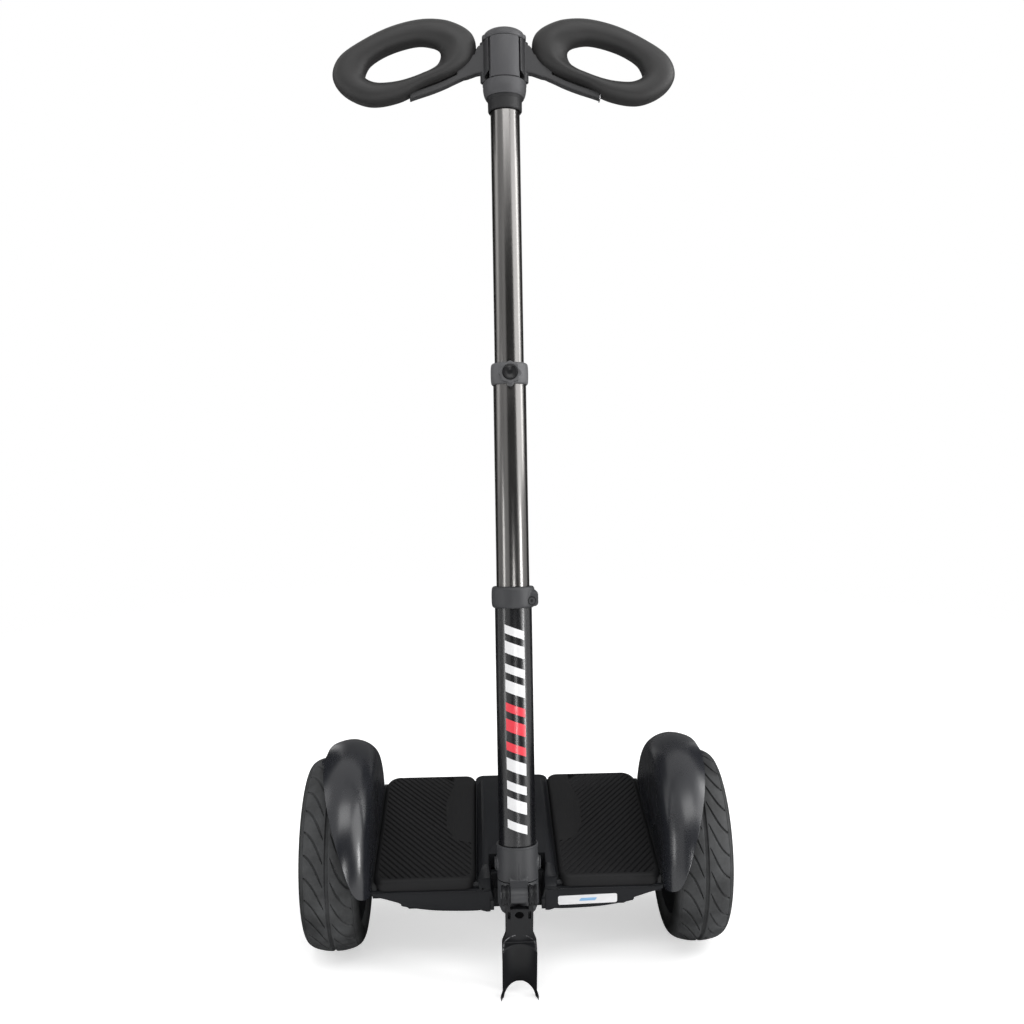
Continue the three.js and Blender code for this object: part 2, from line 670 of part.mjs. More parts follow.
function stemSocket() {
  const bowl = bowlShares.map(([across, up]) => [across * socket.radius, socket.foot + up * socket.radius]);
  const cup = turned([...bowl, [socket.radius, socket.top], [0, socket.top]]);
  const boss = intoColumn(rodY(socket.bossRadius, bossFace - socket.bossLength * 3, bossFace));
  const bore = rod(lowerTube.radius + GAP, lowerTube.foot - GAP, socket.top + OVERRUN);
  const hole = intoColumn(rodY(shaft.radius + GAP, bossFace - socket.bossLength, bossFace + OVERRUN,
    SMALL_SIDES));
  const side = socket.radius + OVERRUN;
  const knuckleRoom = moved(rodX(pivot.disc + pivot.ring + GAP, -side, side), 0, -pivot.forward, pivot.z);
  return cut(join(cup, boss), bore, hole, knuckleRoom);
}

place('stem_socket', stemSocket(), look.casting, steering);

// Parking stand, hinged on a collar round the foot of the column

function standCollar() {
  const c = baseCollar;
  const band = turned([
    [lowerTube.radius + GAP, c.foot], [c.radius, c.foot],
    [c.radius, c.top - c.lip], [c.radius - c.lip / 2, c.top],
    [lowerTube.radius + GAP, c.top], [lowerTube.radius + GAP, c.foot],
  ]);
  const ears = rodX(c.boltRadius, -c.radius - c.lip, c.radius + c.lip, SMALL_SIDES);
  const earsInPlace = moved(ears, 0, 0, c.boltZ);
  const lug = slabX([
    [-lowerTube.radius, c.foot + c.lip * 3], [-lowerTube.radius, c.foot], [-c.radius - c.lip / 2, c.foot],
    [-pivot.forward + pivot.barrel / 2, pivot.z - pivot.barrel / 2], [-pivot.forward - pivot.barrel, pivot.z],
    [-pivot.forward - pivot.barrel * 0.8, pivot.z + pivot.barrel * 0.6],
    [-pivot.forward, pivot.z + pivot.barrel], [-c.radius, c.foot + c.lip * 3],
  ], -pivot.barrelHalf, pivot.barrelHalf);
  const barrel = moved(rodX(pivot.barrel, -pivot.barrelHalf, pivot.barrelHalf), 0, -pivot.forward, pivot.z);
  const bore = rod(lowerTube.radius + GAP, c.foot * 4, c.top + OVERRUN);
  const pinEnd = pivot.barrelHalf + OVERRUN;
  const pinHole = moved(rodX(pivot.pin + GAP, -pinEnd, pinEnd, SMALL_SIDES), 0, -pivot.forward, pivot.z);
  return cut(join(band, earsInPlace, lug, barrel), bore, pinHole);
}

place('stand_collar', standCollar(), look.casting, steering);

const collarBolt = moved(rodX(baseCollar.boltRadius - GAP * 4, baseCollar.radius + baseCollar.lip + GAP,
  baseCollar.radius + baseCollar.lip + baseCollar.boltHead, SMALL_SIDES), 0, 0, baseCollar.boltZ);
placePair('collar_bolt', collarBolt, look.casting, steering);

// The leg is drawn folded up against the lower tube, with the pivot as its zero, then swung down.
function standLeg() {
  const s = stand;
  const tubeY = pivot.forward;
  const wallFace = tubeY - s.channelRadius;
  const neckFace = wallFace - s.neckThickness;
  const neckBack = wallFace - GAP * 2;
  const near = pivot.barrelHalf + GAP;
  const far = near + pivot.discWidth;
  const bead = pivot.disc + pivot.ring;
  const disc = join(rodX(pivot.disc, near, far, SMALL_SIDES),
    rodX(bead, near, near + pivot.ring * 2, SMALL_SIDES), rodX(bead, far - pivot.ring * 2, far, SMALL_SIDES));
  const web = block(near, s.neckHalf, neckFace, neckBack, 0, s.neckFoot + s.shoulder);
  const cheek = join(disc, web);
  const neck = block(-s.neckHalf, s.neckHalf, neckFace, neckBack, s.neckFoot, s.neckLength + s.shoulder);
  const shoulder = slabY([
    [-s.neckHalf, s.neckLength - s.shoulder / 2], [s.neckHalf, s.neckLength - s.shoulder / 2],
    [s.bodyHalf, s.neckLength + s.shoulder / 2], [s.bodyHalf, s.neckLength + s.shoulder],
    [-s.bodyHalf, s.neckLength + s.shoulder], [-s.bodyHalf, s.neckLength + s.shoulder / 2],
  ], neckFace, wallFace + s.bodyHalf / 2);
  const wide = moved(rod(s.channelRadius, s.neckLength, s.length), 0, tubeY, 0);
  const body = common(wide, block(-s.bodyHalf, s.bodyHalf, 0, tubeY, 0, s.length));
  const flareStart = s.length - s.flareLength;
  const footFlare = common(moved(rod(s.channelRadius + s.flare, flareStart, s.length), 0, tubeY, 0),
    slabY([
      [-s.bodyHalf, flareStart], [s.bodyHalf, flareStart],
      [s.flareHalf, s.length - s.flareLength / 2], [s.flareHalf, s.length],
      [-s.flareHalf, s.length], [-s.flareHalf, s.length - s.flareLength / 2],
    ], 0, tubeY));
  const room = moved(rod(s.channelRadius - s.channelWall, 0, s.length + OVERRUN), 0, tubeY, 0);
  const hole = moved(rodY(s.hole, neckFace - OVERRUN, wallFace + OVERRUN, SMALL_SIDES), 0, 0, s.holeAt);
  const pinHole = rodX(pivot.pin + GAP, -far - OVERRUN, far + OVERRUN, SMALL_SIDES);
  const folded = cut(join(cheek, flipped(cheek), neck, shoulder, body, footFlare), room, hole, pinHole);
  return moved(turnedX(folded, STAND_SWING), 0, -pivot.forward, pivot.z);
}

// The floor, seen from the frame of the column, trims the prongs of the stand.
function floorBlock(size) {
  const ground = block(-size, size, -size, size, -size, 0);
  const toDeck = moved(ground, 0, 0, -axleHeight);
  const tilted = turnedX(toDeck, -NOSE_DOWN);
  return intoColumn(tilted);
}

function footArch() {
  const arch = rodY(stand.archHalf, -stand.length, stand.length);
  const low = moved(arch.scale(1, 1, stand.archRise / stand.archHalf), 0, 0, -axleHeight);
  return intoColumn(turnedX(low, -NOSE_DOWN));
}

const leg = cut(standLeg(), floorBlock(wheel.radius * 4), footArch());
place('stand_leg', leg, look.shell, steering);
const pinReach = pivot.barrelHalf + pivot.discWidth + GAP * 2;
place('stand_pin', moved(rodX(pivot.pin, -pinReach, pinReach, SMALL_SIDES), 0, -pivot.forward, pivot.z),
  look.steel, steering);

// Telescopic tubes and their collars

function pipe({ radius, wall, foot, top }) {
  return turned([
    [radius - wall, foot], [radius, foot], [radius, top], [radius - wall, top], [radius - wall, foot],
  ]);
}

place('tube_lower', pipe(lowerTube), look.lowerTube, steering);
place('tube_middle', pipe(middleTube), look.tube, steering);
place('tube_upper', pipe(upperTube), look.tube, steering);

// A collar clamps one tube and guides the next.
function guideCollar(c, held, guided, heldTop) {
  const top = c.foot + c.height;
  const band = turned([
    [0, c.foot], [c.radius - c.edge, c.foot], [c.radius, c.foot + c.edge], [c.radius, top - c.edge],
    [c.radius - c.edge, top], [0, top],
  ]);
  return [band, rod(held.radius + GAP, c.foot - OVERRUN, heldTop + GAP), rod(guided.radius + GAP,
    c.foot, top + OVERRUN)];
}

function lowerCollar() {
  const c = lowCollar;
  const [band, ...bores] = guideCollar(c, lowerTube, middleTube, lowerTube.top);
  const lug = moved(rodY(c.lug, -c.lugFront, c.lugBack, SMALL_SIDES), c.lugX, 0, c.foot + c.lug);
  const screwRoom = moved(rodY(c.screw + GAP, -c.radius, -c.lugFront + c.screwHead, SMALL_SIDES),
    c.screwX, 0, c.foot + c.lug);
  return cut(join(band, lug), ...bores, screwRoom);
}

function middleCollar() {
  const c = midCollar;
  const [band, ...bores] = guideCollar(c, middleTube, upperTube, middleTube.top);
  const z = c.foot + c.height / 2;
  const boss = moved(rodY(c.boss, -c.radius - c.bossReach, 0), 0, 0, z);
  const bump = moved(rodY(c.boss / 3, -c.radius - c.bossReach / 2, 0, SMALL_SIDES), 0, 0, c.foot + GAP);
  const well = moved(rodY(c.buttonRadius + GAP, -c.radius - c.bossReach - OVERRUN,
    -c.radius - c.bossReach + button.depth + button.travel), 0, 0, z);
  return cut(join(band, boss, bump), ...bores, well);
}

function releaseButton() {
  const face = midCollar.radius + midCollar.bossReach + button.reach;
  const back = midCollar.radius + midCollar.bossReach - button.depth + GAP;
  const cap = turned([
    [0, back], [midCollar.buttonRadius, back], [midCollar.buttonRadius, face - button.dish / 2],
    [midCollar.buttonRadius - button.dish, face], [midCollar.buttonRadius / 2, face - button.dish],
    [0, face - button.dish * 1.25],
  ]);
  return moved(cap.rotateX(Math.PI / 2), 0, 0, midCollar.foot + midCollar.height / 2);
}

place('collar_lower', lowerCollar(), look.plastic, steering);
const screw = rodY(lowCollar.screw, -lowCollar.lugFront - lowCollar.screwHead / 2,
  -lowCollar.lugFront + lowCollar.screwHead - GAP, SMALL_SIDES);
place('clamp_screw', moved(screw, lowCollar.screwX, 0, lowCollar.foot + lowCollar.lug), look.steel, steering);
place('collar_middle', middleCollar(), look.plastic, steering);
place('release_button', releaseButton(), look.gloss, steering);

// Head of the column, seated on the top of the upper tube

const headFoot = upperTube.top - head.overlap;
const sleeveFoot = headFoot - sleeve.height;
const skirtTop = headFoot + head.skirt;
const coreTop = headFoot + head.height;

place('head_sleeve', turned([
  [upperTube.radius + GAP, sleeveFoot], [upperTube.radius + sleeve.wall, sleeveFoot],
  [sleeve.topRadius, headFoot - sleeve.wall], [sleeve.topRadius, headFoot],
  [upperTube.radius + GAP, headFoot], [upperTube.radius + GAP, sleeveFoot],
]), look.gloss, steering);

const hingePin = (radius, z0, z1) => moved(rod(radius, z0, z1, SMALL_SIDES), hinge.x, 0, 0);

function headBody() {
  const z0 = headFoot + GAP;
  const skirt = turned([
    [0, z0], [head.radius - head.chamfer, z0], [head.radius, z0 + head.chamfer * 3],
    [head.radius, skirtTop - head.chamfer], [head.radius - head.chamfer / 2, skirtTop],
    [0, skirtTop],
  ]);
  const core = common(rod(head.coreRadius, z0, coreTop),
    block(-head.coreHalf, head.coreHalf, -head.radius, head.radius, z0, coreTop));
  const holes = [1, -1].map((side) => hingePin(hinge.pin + GAP, skirtTop - hinge.seat, skirtTop + OVERRUN)
    .scale(side, 1, 1));
  const bore = rod(upperTube.radius + GAP, z0 - OVERRUN, upperTube.top + GAP);
  return cut(join(skirt, core), bore, ...holes);
}

function headCover() {
  const z0 = skirtTop + GAP;
  const z1 = coreTop;
  const band = turned([
    [head.coreRadius + GAP, z0], [head.radius, z0], [head.radius, z1 - head.chamfer],
    [head.radius - head.chamfer / 2, z1], [head.coreRadius + GAP, z1], [head.coreRadius + GAP, z0],
  ]);
  return common(band, block(-head.coverHalf, head.coverHalf, -head.radius * 2, -head.radius / 2, z0, z1));
}

function headCap() {
  const z0 = coreTop + GAP;
  const crown = capShares.map(([across, up]) => [across * cap.radius, z0 + cap.rim + up * cap.dome]);
  const dome = turned([[0, z0], [cap.radius, z0], ...crown]);
  const wings = cushion(-hinge.x - hinge.pin, hinge.x + hinge.pin, -hinge.barrel * 2, hinge.barrel * 2,
    z0, z0 + cap.rim, hinge.barrel, GAP);
  return join(dome, wings);
}

place('head_body', headBody(), look.plastic, steering);
place('head_cover', headCover(), look.plastic, steering);
place('head_cap', headCap(), look.plastic, steering);
placePair('hinge_pin', hingePin(hinge.pin, skirtTop - hinge.seat + GAP, coreTop), look.steel, steering);

// The ring of a grip and the bar that carries it
const ringZ = skirtTop + ring.rise;
const ringCurve = (shares) => new THREE.CatmullRomCurve3(
  shares.map(([x, z]) => new THREE.Vector3(x * ring.reach, 0, z * ring.reach)), true);
const ringOutside = ringCurve(ringShares);
const ringHole = ringCurve(holeShares);

// A torus drawn out to follow the ring, either as wide as the foam or as a rod of the radius given.
function ringLoop(sides, steps, radius) {
  const loop = new THREE.TorusGeometry(ring.reach, ring.core, sides, steps);
  const places = loop.getAttribute('position');
  for (let i = 0; i < places.count; i += 1) {
    const round = Math.atan2(places.getY(i), places.getX(i)) / (Math.PI * 2);
    const out = (Math.hypot(places.getX(i), places.getY(i)) - ring.reach) / ring.core;
    const outside = ringOutside.getPoint((round + 1) % 1);
    const hole = ringHole.getPoint((round + 1) % 1);
    const middle = outside.clone().add(hole).multiplyScalar(1 / 2);
    const across = outside.sub(hole).multiplyScalar(1 / 2);
    const point = middle.addScaledVector(radius ? across.setLength(radius) : across, out);
    const deep = places.getZ(i) / ring.core;
    places.setXYZ(i, point.x + ring.x, deep * (radius || ring.half), point.z + ringZ);
  }
  return loop;
}

function armBar(grow) {
  const [low, high] = [skirtTop + arm.seat, coreTop - arm.room];
  const half = arm.thickness / 2 + grow;
  const centre = barShares.map(([across, up]) => [ring.x + across * ring.reach, ringZ + up * ring.reach]);
  centre.at(-1)[0] += grow;
  const upper = centre.map(([x, z]) => [x, z + arm.bar / 2 + grow]);
  const lower = centre.map(([x, z]) => [x, z - arm.bar / 2 - grow]);
  const bar = slabY([...lower, ...upper.reverse()], -half, half);
  const root = slabY([
    [arm.rootInner - hinge.barrel / 2, low - grow], [arm.rootOuter + grow, low - grow],
    [arm.rootOuter + grow, high + grow], [arm.rootInner - hinge.barrel / 2, high + grow],
  ], -half, half);
  const spurZ = (low + high) / 2;
  const spur = block(arm.rootOuter - hinge.pin, ring.x - ring.reach * 0.7 + grow, -half, half,
    spurZ - arm.bar / 2 - grow, spurZ + arm.bar / 2 + grow);
  return [bar, root, spur];
}

function gripArm() {
  const barrel = moved(rod(hinge.barrel, skirtTop + GAP, coreTop - GAP, SMALL_SIDES), hinge.x, 0, 0);
  const bore = hingePin(hinge.pin + GAP, skirtTop - OVERRUN, coreTop + OVERRUN);
  return cut(join(barrel, ...armBar(0), ringLoop(CORE_SIDES, RING_STEPS, ring.core)), bore);
}

const gripFoam = () => cut(ringLoop(RING_SIDES, RING_STEPS), ...armBar(GAP),
  ringLoop(CORE_SIDES, RING_STEPS, ring.core + GAP * 2));

placePair('grip_arm', gripArm(), look.plastic, steering);
placePair('grip_foam', gripFoam(), look.foam, steering);

// The origin goes to the floor under the middle of the outside box.
transporter.updateMatrixWorld(true);
const outside = new THREE.Box3().setFromObject(transporter, true);
const centre = outside.getCenter(new THREE.Vector3());
transporter.position.set(-centre.x, -centre.y, -outside.min.z);
transporter.updateMatrixWorld(true);

export default transporter;
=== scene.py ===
# The looks of a self balancing personal transporter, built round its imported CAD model.
# Metres, +Z up. The front faces -Y and the right-hand wheel is at +X.

import json
import math
from contextlib import contextmanager
from functools import cache

import bmesh
import bpy
from bpy.props import FloatProperty, FloatVectorProperty, IntProperty, PointerProperty
from mathutils import Matrix, Vector


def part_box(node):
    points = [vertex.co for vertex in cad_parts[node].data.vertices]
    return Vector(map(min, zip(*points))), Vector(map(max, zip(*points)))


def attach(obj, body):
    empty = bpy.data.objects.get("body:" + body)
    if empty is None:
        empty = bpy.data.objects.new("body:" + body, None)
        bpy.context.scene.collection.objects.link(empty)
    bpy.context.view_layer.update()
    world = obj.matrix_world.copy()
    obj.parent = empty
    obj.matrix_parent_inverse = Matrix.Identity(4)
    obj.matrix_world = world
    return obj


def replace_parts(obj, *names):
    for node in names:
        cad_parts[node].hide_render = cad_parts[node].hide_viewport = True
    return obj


bl_info = {
    "name": "Self Balancing Transporter",
    "version": (1, 0, 0),
    "blender": (4, 5, 0),
    "location": "3D View > Sidebar > Transporter",
    "description": "Builds the visible pieces of a self balancing personal transporter",
    "category": "Object",
}

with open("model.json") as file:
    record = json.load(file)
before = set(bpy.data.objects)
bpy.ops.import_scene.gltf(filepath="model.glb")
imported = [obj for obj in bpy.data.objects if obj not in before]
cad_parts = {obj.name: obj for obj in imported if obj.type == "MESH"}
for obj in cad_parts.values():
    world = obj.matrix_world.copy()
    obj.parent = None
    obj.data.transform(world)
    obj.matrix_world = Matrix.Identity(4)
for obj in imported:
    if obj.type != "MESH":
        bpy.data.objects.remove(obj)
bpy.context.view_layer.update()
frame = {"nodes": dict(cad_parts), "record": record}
BODY_OF = {node: body for body, nodes in frame["record"]["behaviour"]["bodies"].items() for node in nodes}

TO_X = Matrix.Rotation(math.radians(90), 4, "Y")
TO_Y = Matrix.Rotation(math.radians(-90), 4, "X")
MIRROR_X = Matrix.Scale(-1, 4, (1, 0, 0))

# An outline in Y and Z given width along X, and one in X and Z given depth along Y.
ALONG_X = Matrix(((0, 0, 1, 0), (1, 0, 0, 0), (0, 1, 0, 0), (0, 0, 0, 1)))
ALONG_Y = Matrix(((1, 0, 0, 0), (0, 0, 1, 0), (0, 1, 0, 0), (0, 0, 0, 1)))

# The room left between two pieces that fit together.
GAP = 0.0003


def middle_of(node):
    low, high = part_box(node)
    return (low + high) / 2


AXLE = Vector((0, middle_of("axle_right").y, middle_of("axle_right").z))
WHEEL_X = middle_of("tyre_right").x


def length(name, description, default):
    return FloatProperty(name=name, description=description, default=default, min=0, unit="LENGTH",
                         precision=5)


def place_of(name, description, default):
    return FloatProperty(name=name, description=description, default=default, unit="LENGTH", precision=5)


def turn(name, description, degrees):
    return FloatProperty(name=name, description=description, default=math.radians(degrees), unit="ROTATION")


def colour(name, description, default):
    return FloatVectorProperty(name=name, description=description, default=default, size=3,
                               subtype="COLOR", min=0, max=1)


def number(name, description, default):
    return IntProperty(name=name, description=description, default=default, min=1)


class TransporterWheelSizes(bpy.types.PropertyGroup):
    radius: length("Tyre radius", "From the axle to the tread", 0.125)
    half: length("Half width", "Half the width of the tyre", 0.037)
    bead: length("Bead radius", "Where the tyre leaves the rim", 0.084)
    bead_half: length("Bead half width", "Half the width between the rim's flanges", 0.028)
    sipes: number("Sipes", "Curved cuts round each side of the tread", 27)
    sipe_depth: length("Sipe depth", "Depth of a curved cut", 0.0021)
    sipe_half: length("Sipe half width", "Half the width of a curved cut", 0.0013)
    sipe_sweep: length("Sipe sweep", "How far a cut runs round the tyre", 0.040)
    tread_edge: length("Tread edge", "From the middle of the tyre to the line round its shoulder", 0.030)
    tread_low: length("Tread foot", "Radius where the tread ends on the side", 0.106)
    groove_depth: length("Groove depth", "Depth of the middle groove", 0.0028)
    groove_half: length("Groove half width", "Half the width of the middle groove", 0.0026)
    cover: length("Cover radius", "Radius of the hub cover", 0.068)
    cover_thickness: length("Cover thickness", "Thickness of the hub cover", 0.005)
    hub_half: length("Hub half width", "From the wheel's plane to the face of the motor", 0.025)
    axle: length("Axle radius", "Radius of the axle", 0.008)


class TransporterDeckSizes(bpy.types.PropertyGroup):
    nose_down: turn("Nose down", "How far the parked deck tips forward", 6)
    top: length("Top", "Deck shell above the axle", 0.0215)
    front: place_of("Front", "Front edge of the deck shell", -0.106)
    rear: place_of("Rear", "Rear edge of the deck shell", 0.134)
    mat_inner: length("Mat inner", "Inner edge of a foot mat", 0.052)
    mat_outer: length("Mat outer", "Outer edge of a foot mat", 0.1812)
    mat_rise: length("Mat rise", "Thickness of a foot mat", 0.0085)
    mat_lip: length("Mat lip", "How far the mat reaches over the front edge", 0.0047)
    mat_drop: length("Lip drop", "How far the lip hangs down", 0.006)
    mat_edge: length("Mat edge", "Rounding of the top edge of a mat", 0.0058)
    mat_corner: length("Mat corner", "Rounding of the inner corners of a mat", 0.016)
    mat_clip_x: length("Clip across", "Outer corner of a mat cut off, across", 0.015)
    mat_clip_y: length("Clip along", "Outer corner of a mat cut off, along", 0.022)
    groove_pitch: length("Groove pitch", "From one groove of the mat to the next", 0.0068)
    groove_half: length("Groove half width", "Half the width of a groove", 0.0012)
    groove_depth: length("Groove depth", "Depth of a groove", 0.0014)
    groove_turn: turn("Groove turn", "How far the grooves turn from the axle's line", 52)
    wall_face: length("Fender face", "From the middle to the inner face of a fender", 0.1830)
    dome: length("Fender dome", "Radius of the top of a fender", 0.147)
    fender_wall: length("Fender wall radius", "Radius where the dome leaves the flat side", 0.116)
    fender_width: length("Fender width", "How far a fender reaches over its tyre", 0.0693)
    fender_sheet: length("Fender thickness", "Thickness of the moulding", 0.003)


class TransporterColumnSizes(bpy.types.PropertyGroup):
    lean: turn("Lean", "How far the column leans back from square to the deck", 18)
    base_y: place_of("Base along the deck", "From the axle to the foot of the column", -0.112)
    base_z: place_of("Base height", "From the axle to the middle of the base collar", 0.0497)
    lower: length("Lower tube radius", "Outside radius of the lower tube", 0.023)
    middle: length("Middle tube radius", "Outside radius of the middle tube", 0.0205)
    upper: length("Upper tube radius", "Outside radius of the upper tube", 0.01825)
    lower_top: length("Lower tube top", "Top of the lower tube", 0.336)
    middle_foot: length("Middle tube foot", "Foot of the middle tube", 0.262)
    middle_top: length("Middle tube top", "Top of the middle tube", 0.611)
    upper_foot: length("Upper tube foot", "Foot of the upper tube", 0.540)
    upper_top: length("Upper tube top", "Top of the upper tube", 0.990)
    base_collar: length("Base collar radius", "Outside radius of the base collar", 0.0254)
    low_collar: length("Lower collar radius", "Outside radius of the lower collar", 0.027)
    low_collar_foot: length("Lower collar foot", "Foot of the lower collar", 0.321)
    mid_collar: length("Middle collar radius", "Outside radius of the middle collar", 0.0235)
    mid_collar_foot: length("Middle collar foot", "Foot of the middle collar", 0.597)
    button: length("Button radius", "Radius of the release button", 0.009)


class TransporterStandSizes(bpy.types.PropertyGroup):
    forward: length("Pivot forward", "From the column's axis to the stand's pin", 0.036)
    height: place_of("Pivot height", "The stand's pin, along the column", -0.024)
    swing: turn("Swing", "From folded to parked", 205)
    barrel: length("Barrel radius", "Radius of the collar's hinge barrel", 0.0095)
    barrel_half: length("Barrel half width", "Half the width of the hinge barrel", 0.011)
    disc: length("Cheek radius", "Radius of a cheek of the stand", 0.011)
    disc_width: length("Cheek width", "Width of a cheek", 0.0104)
    channel: length("Channel radius", "Outside radius of the curved leg", 0.0264)
    wall: length("Channel wall", "Wall of the curved leg", 0.0028)
    body_half: length("Leg half width", "Half the width of the leg", 0.0214)
    neck_half: length("Neck half width", "Half the width of the neck", 0.017)
    hole: length("Hole place", "From the pin to the middle of the neck's hole", 0.0240)
    neck: length("Neck length", "From the pin to the channel", 0.061)
    shoulder: length("Shoulder", "How far the neck takes to widen", 0.014)
    reach: length("Leg length", "From the pin to the foot", 0.162)
    foot_half: length("Foot half width", "Half the width over the prongs", 0.0258)
    flare: length("Flare length", "Length of the widened foot", 0.026)
    arch_half: length("Arch half width", "Half the width of the arch under the foot", 0.0195)
    arch_rise: length("Arch rise", "Height of the arch over the floor", 0.0185)


class TransporterGripSizes(bpy.types.PropertyGroup):
    head: length("Head radius", "Radius of the head of the column", 0.027)
    skirt_top: length("Skirt top", "Top of the head's lower ring", 0.975)
    core_top: length("Core top", "Underside of the cap", 1.026)
    ring_x: length("Ring middle", "From the column's axis to the middle of a ring", 0.1245)
    ring_z: length("Ring height", "Middle of a ring, along the column", 1.0)
    reach: length("Ring reach", "Half the length of a ring, the measure of its outline", 0.090)
    half: length("Foam half depth", "Half the depth of the foam", 0.0168)
    bar: length("Bar height", "Height of the bar under a ring", 0.008)
    bar_half: length("Bar half depth", "Half the depth of the bar", 0.0055)
    cheek: length("Cheek radius", "Outside of the strips beside the head's panel", 0.0262)
    hinge: length("Hinge place", "From the column's axis to a hinge pin", 0.0245)


class TransporterColours(bpy.types.PropertyGroup):
    tyre: colour("Tyre", "Tread and side wall", (0.036, 0.037, 0.038))
    casting: colour("Casting", "Base collar, stand and hinge", (0.040, 0.041, 0.044))
    leg: colour("Leg", "The fold-down leg", (0.0105, 0.0108, 0.0120))
    hub: colour("Hub", "Rim and hub cover", (0.0075, 0.0078, 0.0090))
    shell: colour("Shell", "Deck, hull and tunnel cover", (0.0125, 0.0132, 0.0150))
    fender: colour("Fender", "Satin plastic of the fenders", (0.0125, 0.0135, 0.0170))
    mat: colour("Mat", "Rubber of the foot mats", (0.0105, 0.0105, 0.0112))
    lower_tube: colour("Lower tube", "Gloss black lacquer", (0.0045, 0.0048, 0.0060))
    tube: colour("Tubes", "Dark polished metal", (0.135, 0.131, 0.128))
    plastic: colour("Plastic", "Head of the column", (0.066, 0.066, 0.070))
    arm: colour("Arms", "Arms under the rings", (0.040, 0.040, 0.042))
    gloss: colour("Gloss", "Release button", (0.013, 0.013, 0.014))
    sleeve: colour("Sleeve", "Ring under the head", (0.013, 0.013, 0.014))
    pale: colour("Pale plastic", "Middle collar", (0.095, 0.095, 0.099))
    foam: colour("Foam", "Soft grips", (0.026, 0.0255, 0.0255))
    steel: colour("Steel", "Screws and pins", (0.42, 0.42, 0.43))
    lamp: colour("Lamp", "Tail lamps", (0.20, 0.006, 0.006))
    white: colour("White mark", "Light bars and label", (0.80, 0.80, 0.81))
    red: colour("Red mark", "Red bars", (0.80, 0.035, 0.06))
    blue: colour("Blue mark", "Stripe of the label", (0.22, 0.45, 0.72))
    floor: colour("Floor", "Studio floor", (0.88, 0.88, 0.88))


class TransporterStage(bpy.types.PropertyGroup):
    lens: FloatProperty(name="Lens", description="Focal length on a 36 mm sensor", default=37.71, min=1)
    eye_x: place_of("Camera X", "Place of the camera", -0.0420)
    eye_y: place_of("Camera Y", "Place of the camera", -1.3214)
    eye_z: place_of("Camera Z", "Place of the camera", 0.8585)
    pitch: turn("Pitch", "How far the camera looks down", 11.5)
    yaw: turn("Yaw", "How far the camera looks to the right", 1.852)
    roll: turn("Roll", "How far the camera tips", -0.58)
    shade: FloatProperty(name="Studio shade", description="Level of the room's light", default=0.5)
    fade_near: length("Fade start", "Where the floor starts to fade into the room", 0.7)
    fade_far: length("Fade end", "Where the floor has faded into the room", 1.9)


# Meshes

@contextmanager
def edited(mesh):
    """The mesh opened for editing, and written back at the end."""
    work = bmesh.new()
    work.from_mesh(mesh)
    yield work
    work.to_mesh(mesh)
    work.free()


def linked(mesh):
    shape = bpy.data.objects.new("shape", mesh)
    bpy.context.collection.objects.link(shape)
    return shape


def copy_of(node):
    return linked(frame["nodes"][node].data.copy())


def put(shape, place):
    shape.data.transform(place)
    if place.determinant() < 0:
        shape.data.flip_normals()
    return shape


def new_shape(points, faces, place=None):
    mesh = bpy.data.meshes.new("shape")
    mesh.from_pydata([tuple(point) for point in points], [], faces)
    with edited(mesh) as work:
        bmesh.ops.remove_doubles(work, verts=work.verts, dist=1e-7)
        bmesh.ops.recalc_face_normals(work, faces=work.faces)
    shape = linked(mesh)
    return put(shape, place) if place is not None else shape


def modify(shape, kind, **settings):
    step = shape.modifiers.new("step", kind)
    for name, value in settings.items():
        setattr(step, name, value)


def settle(shape):
    """Applies the shape's modifiers."""
    graph = bpy.context.evaluated_depsgraph_get()
    settled = bpy.data.meshes.new_from_object(shape.evaluated_get(graph))
    shape.modifiers.clear()
    old = shape.data
    shape.data = settled
    bpy.data.meshes.remove(old)
    return shape


def discard(shape):
    mesh = shape.data
    bpy.data.objects.remove(shape)
    bpy.data.meshes.remove(mesh)


def combine(operation, base, tools):
    for tool in tools:
        modify(base, "BOOLEAN", operation=operation, solver="MANIFOLD", object=tool)
    settle(base)
    for tool in tools:
        discard(tool)
    return base


def join(base, *tools):
    return combine("UNION", base, tools)


def cut(base, *tools):
    return combine("DIFFERENCE", base, tools)


def common(base, *tools):
    return combine("INTERSECT", base, tools)


def fillet(outline, radius, steps=4):
    """A closed outline with each corner drawn as a curve."""
    points = [Vector(point) for point in outline]
    result = []
    for i, corner in enumerate(points):
        back = points[i - 1] - corner
        ahead = points[(i + 1) % len(points)] - corner
        angle = back.angle(ahead)
        if angle > math.radians(172):
            result.append(corner)
            continue
        run = min(radius / math.tan(angle / 2), back.length * 0.48, ahead.length * 0.48)
        start = corner + back.normalized() * run
        end = corner + ahead.normalized() * run
        for k in range(steps + 1):
            t = k / steps
            result.append((1 - t) ** 2 * start + 2 * t * (1 - t) * corner + t * t * end)
    return [tuple(point) for point in result]


def smoothed(line, steps):
    """The smooth curve from the second of the points to the last but one."""
    result = []
    for a, b, c, d in zip(line, line[1:], line[2:], line[3:]):
        for k in range(steps):
            t = k / steps
            result.append(0.5 * (2 * b + (c - a) * t + (2 * a - 5 * b + 4 * c - d) * t * t
                                 + (3 * b - a - 3 * c + d) * t ** 3))
    return [tuple(point) for point in result]


def spline(points, steps=8):
    """A smooth line through the points."""
    line = [Vector(point) for point in points]
    return smoothed([2 * line[0] - line[1], *line, 2 * line[-1] - line[-2]], steps) + [tuple(line[-1])]


def loop(points, steps=8):
    """A smooth closed line through the points."""
    line = [Vector(point) for point in points]
    return smoothed([line[-1], *line, *line[:2]], steps)


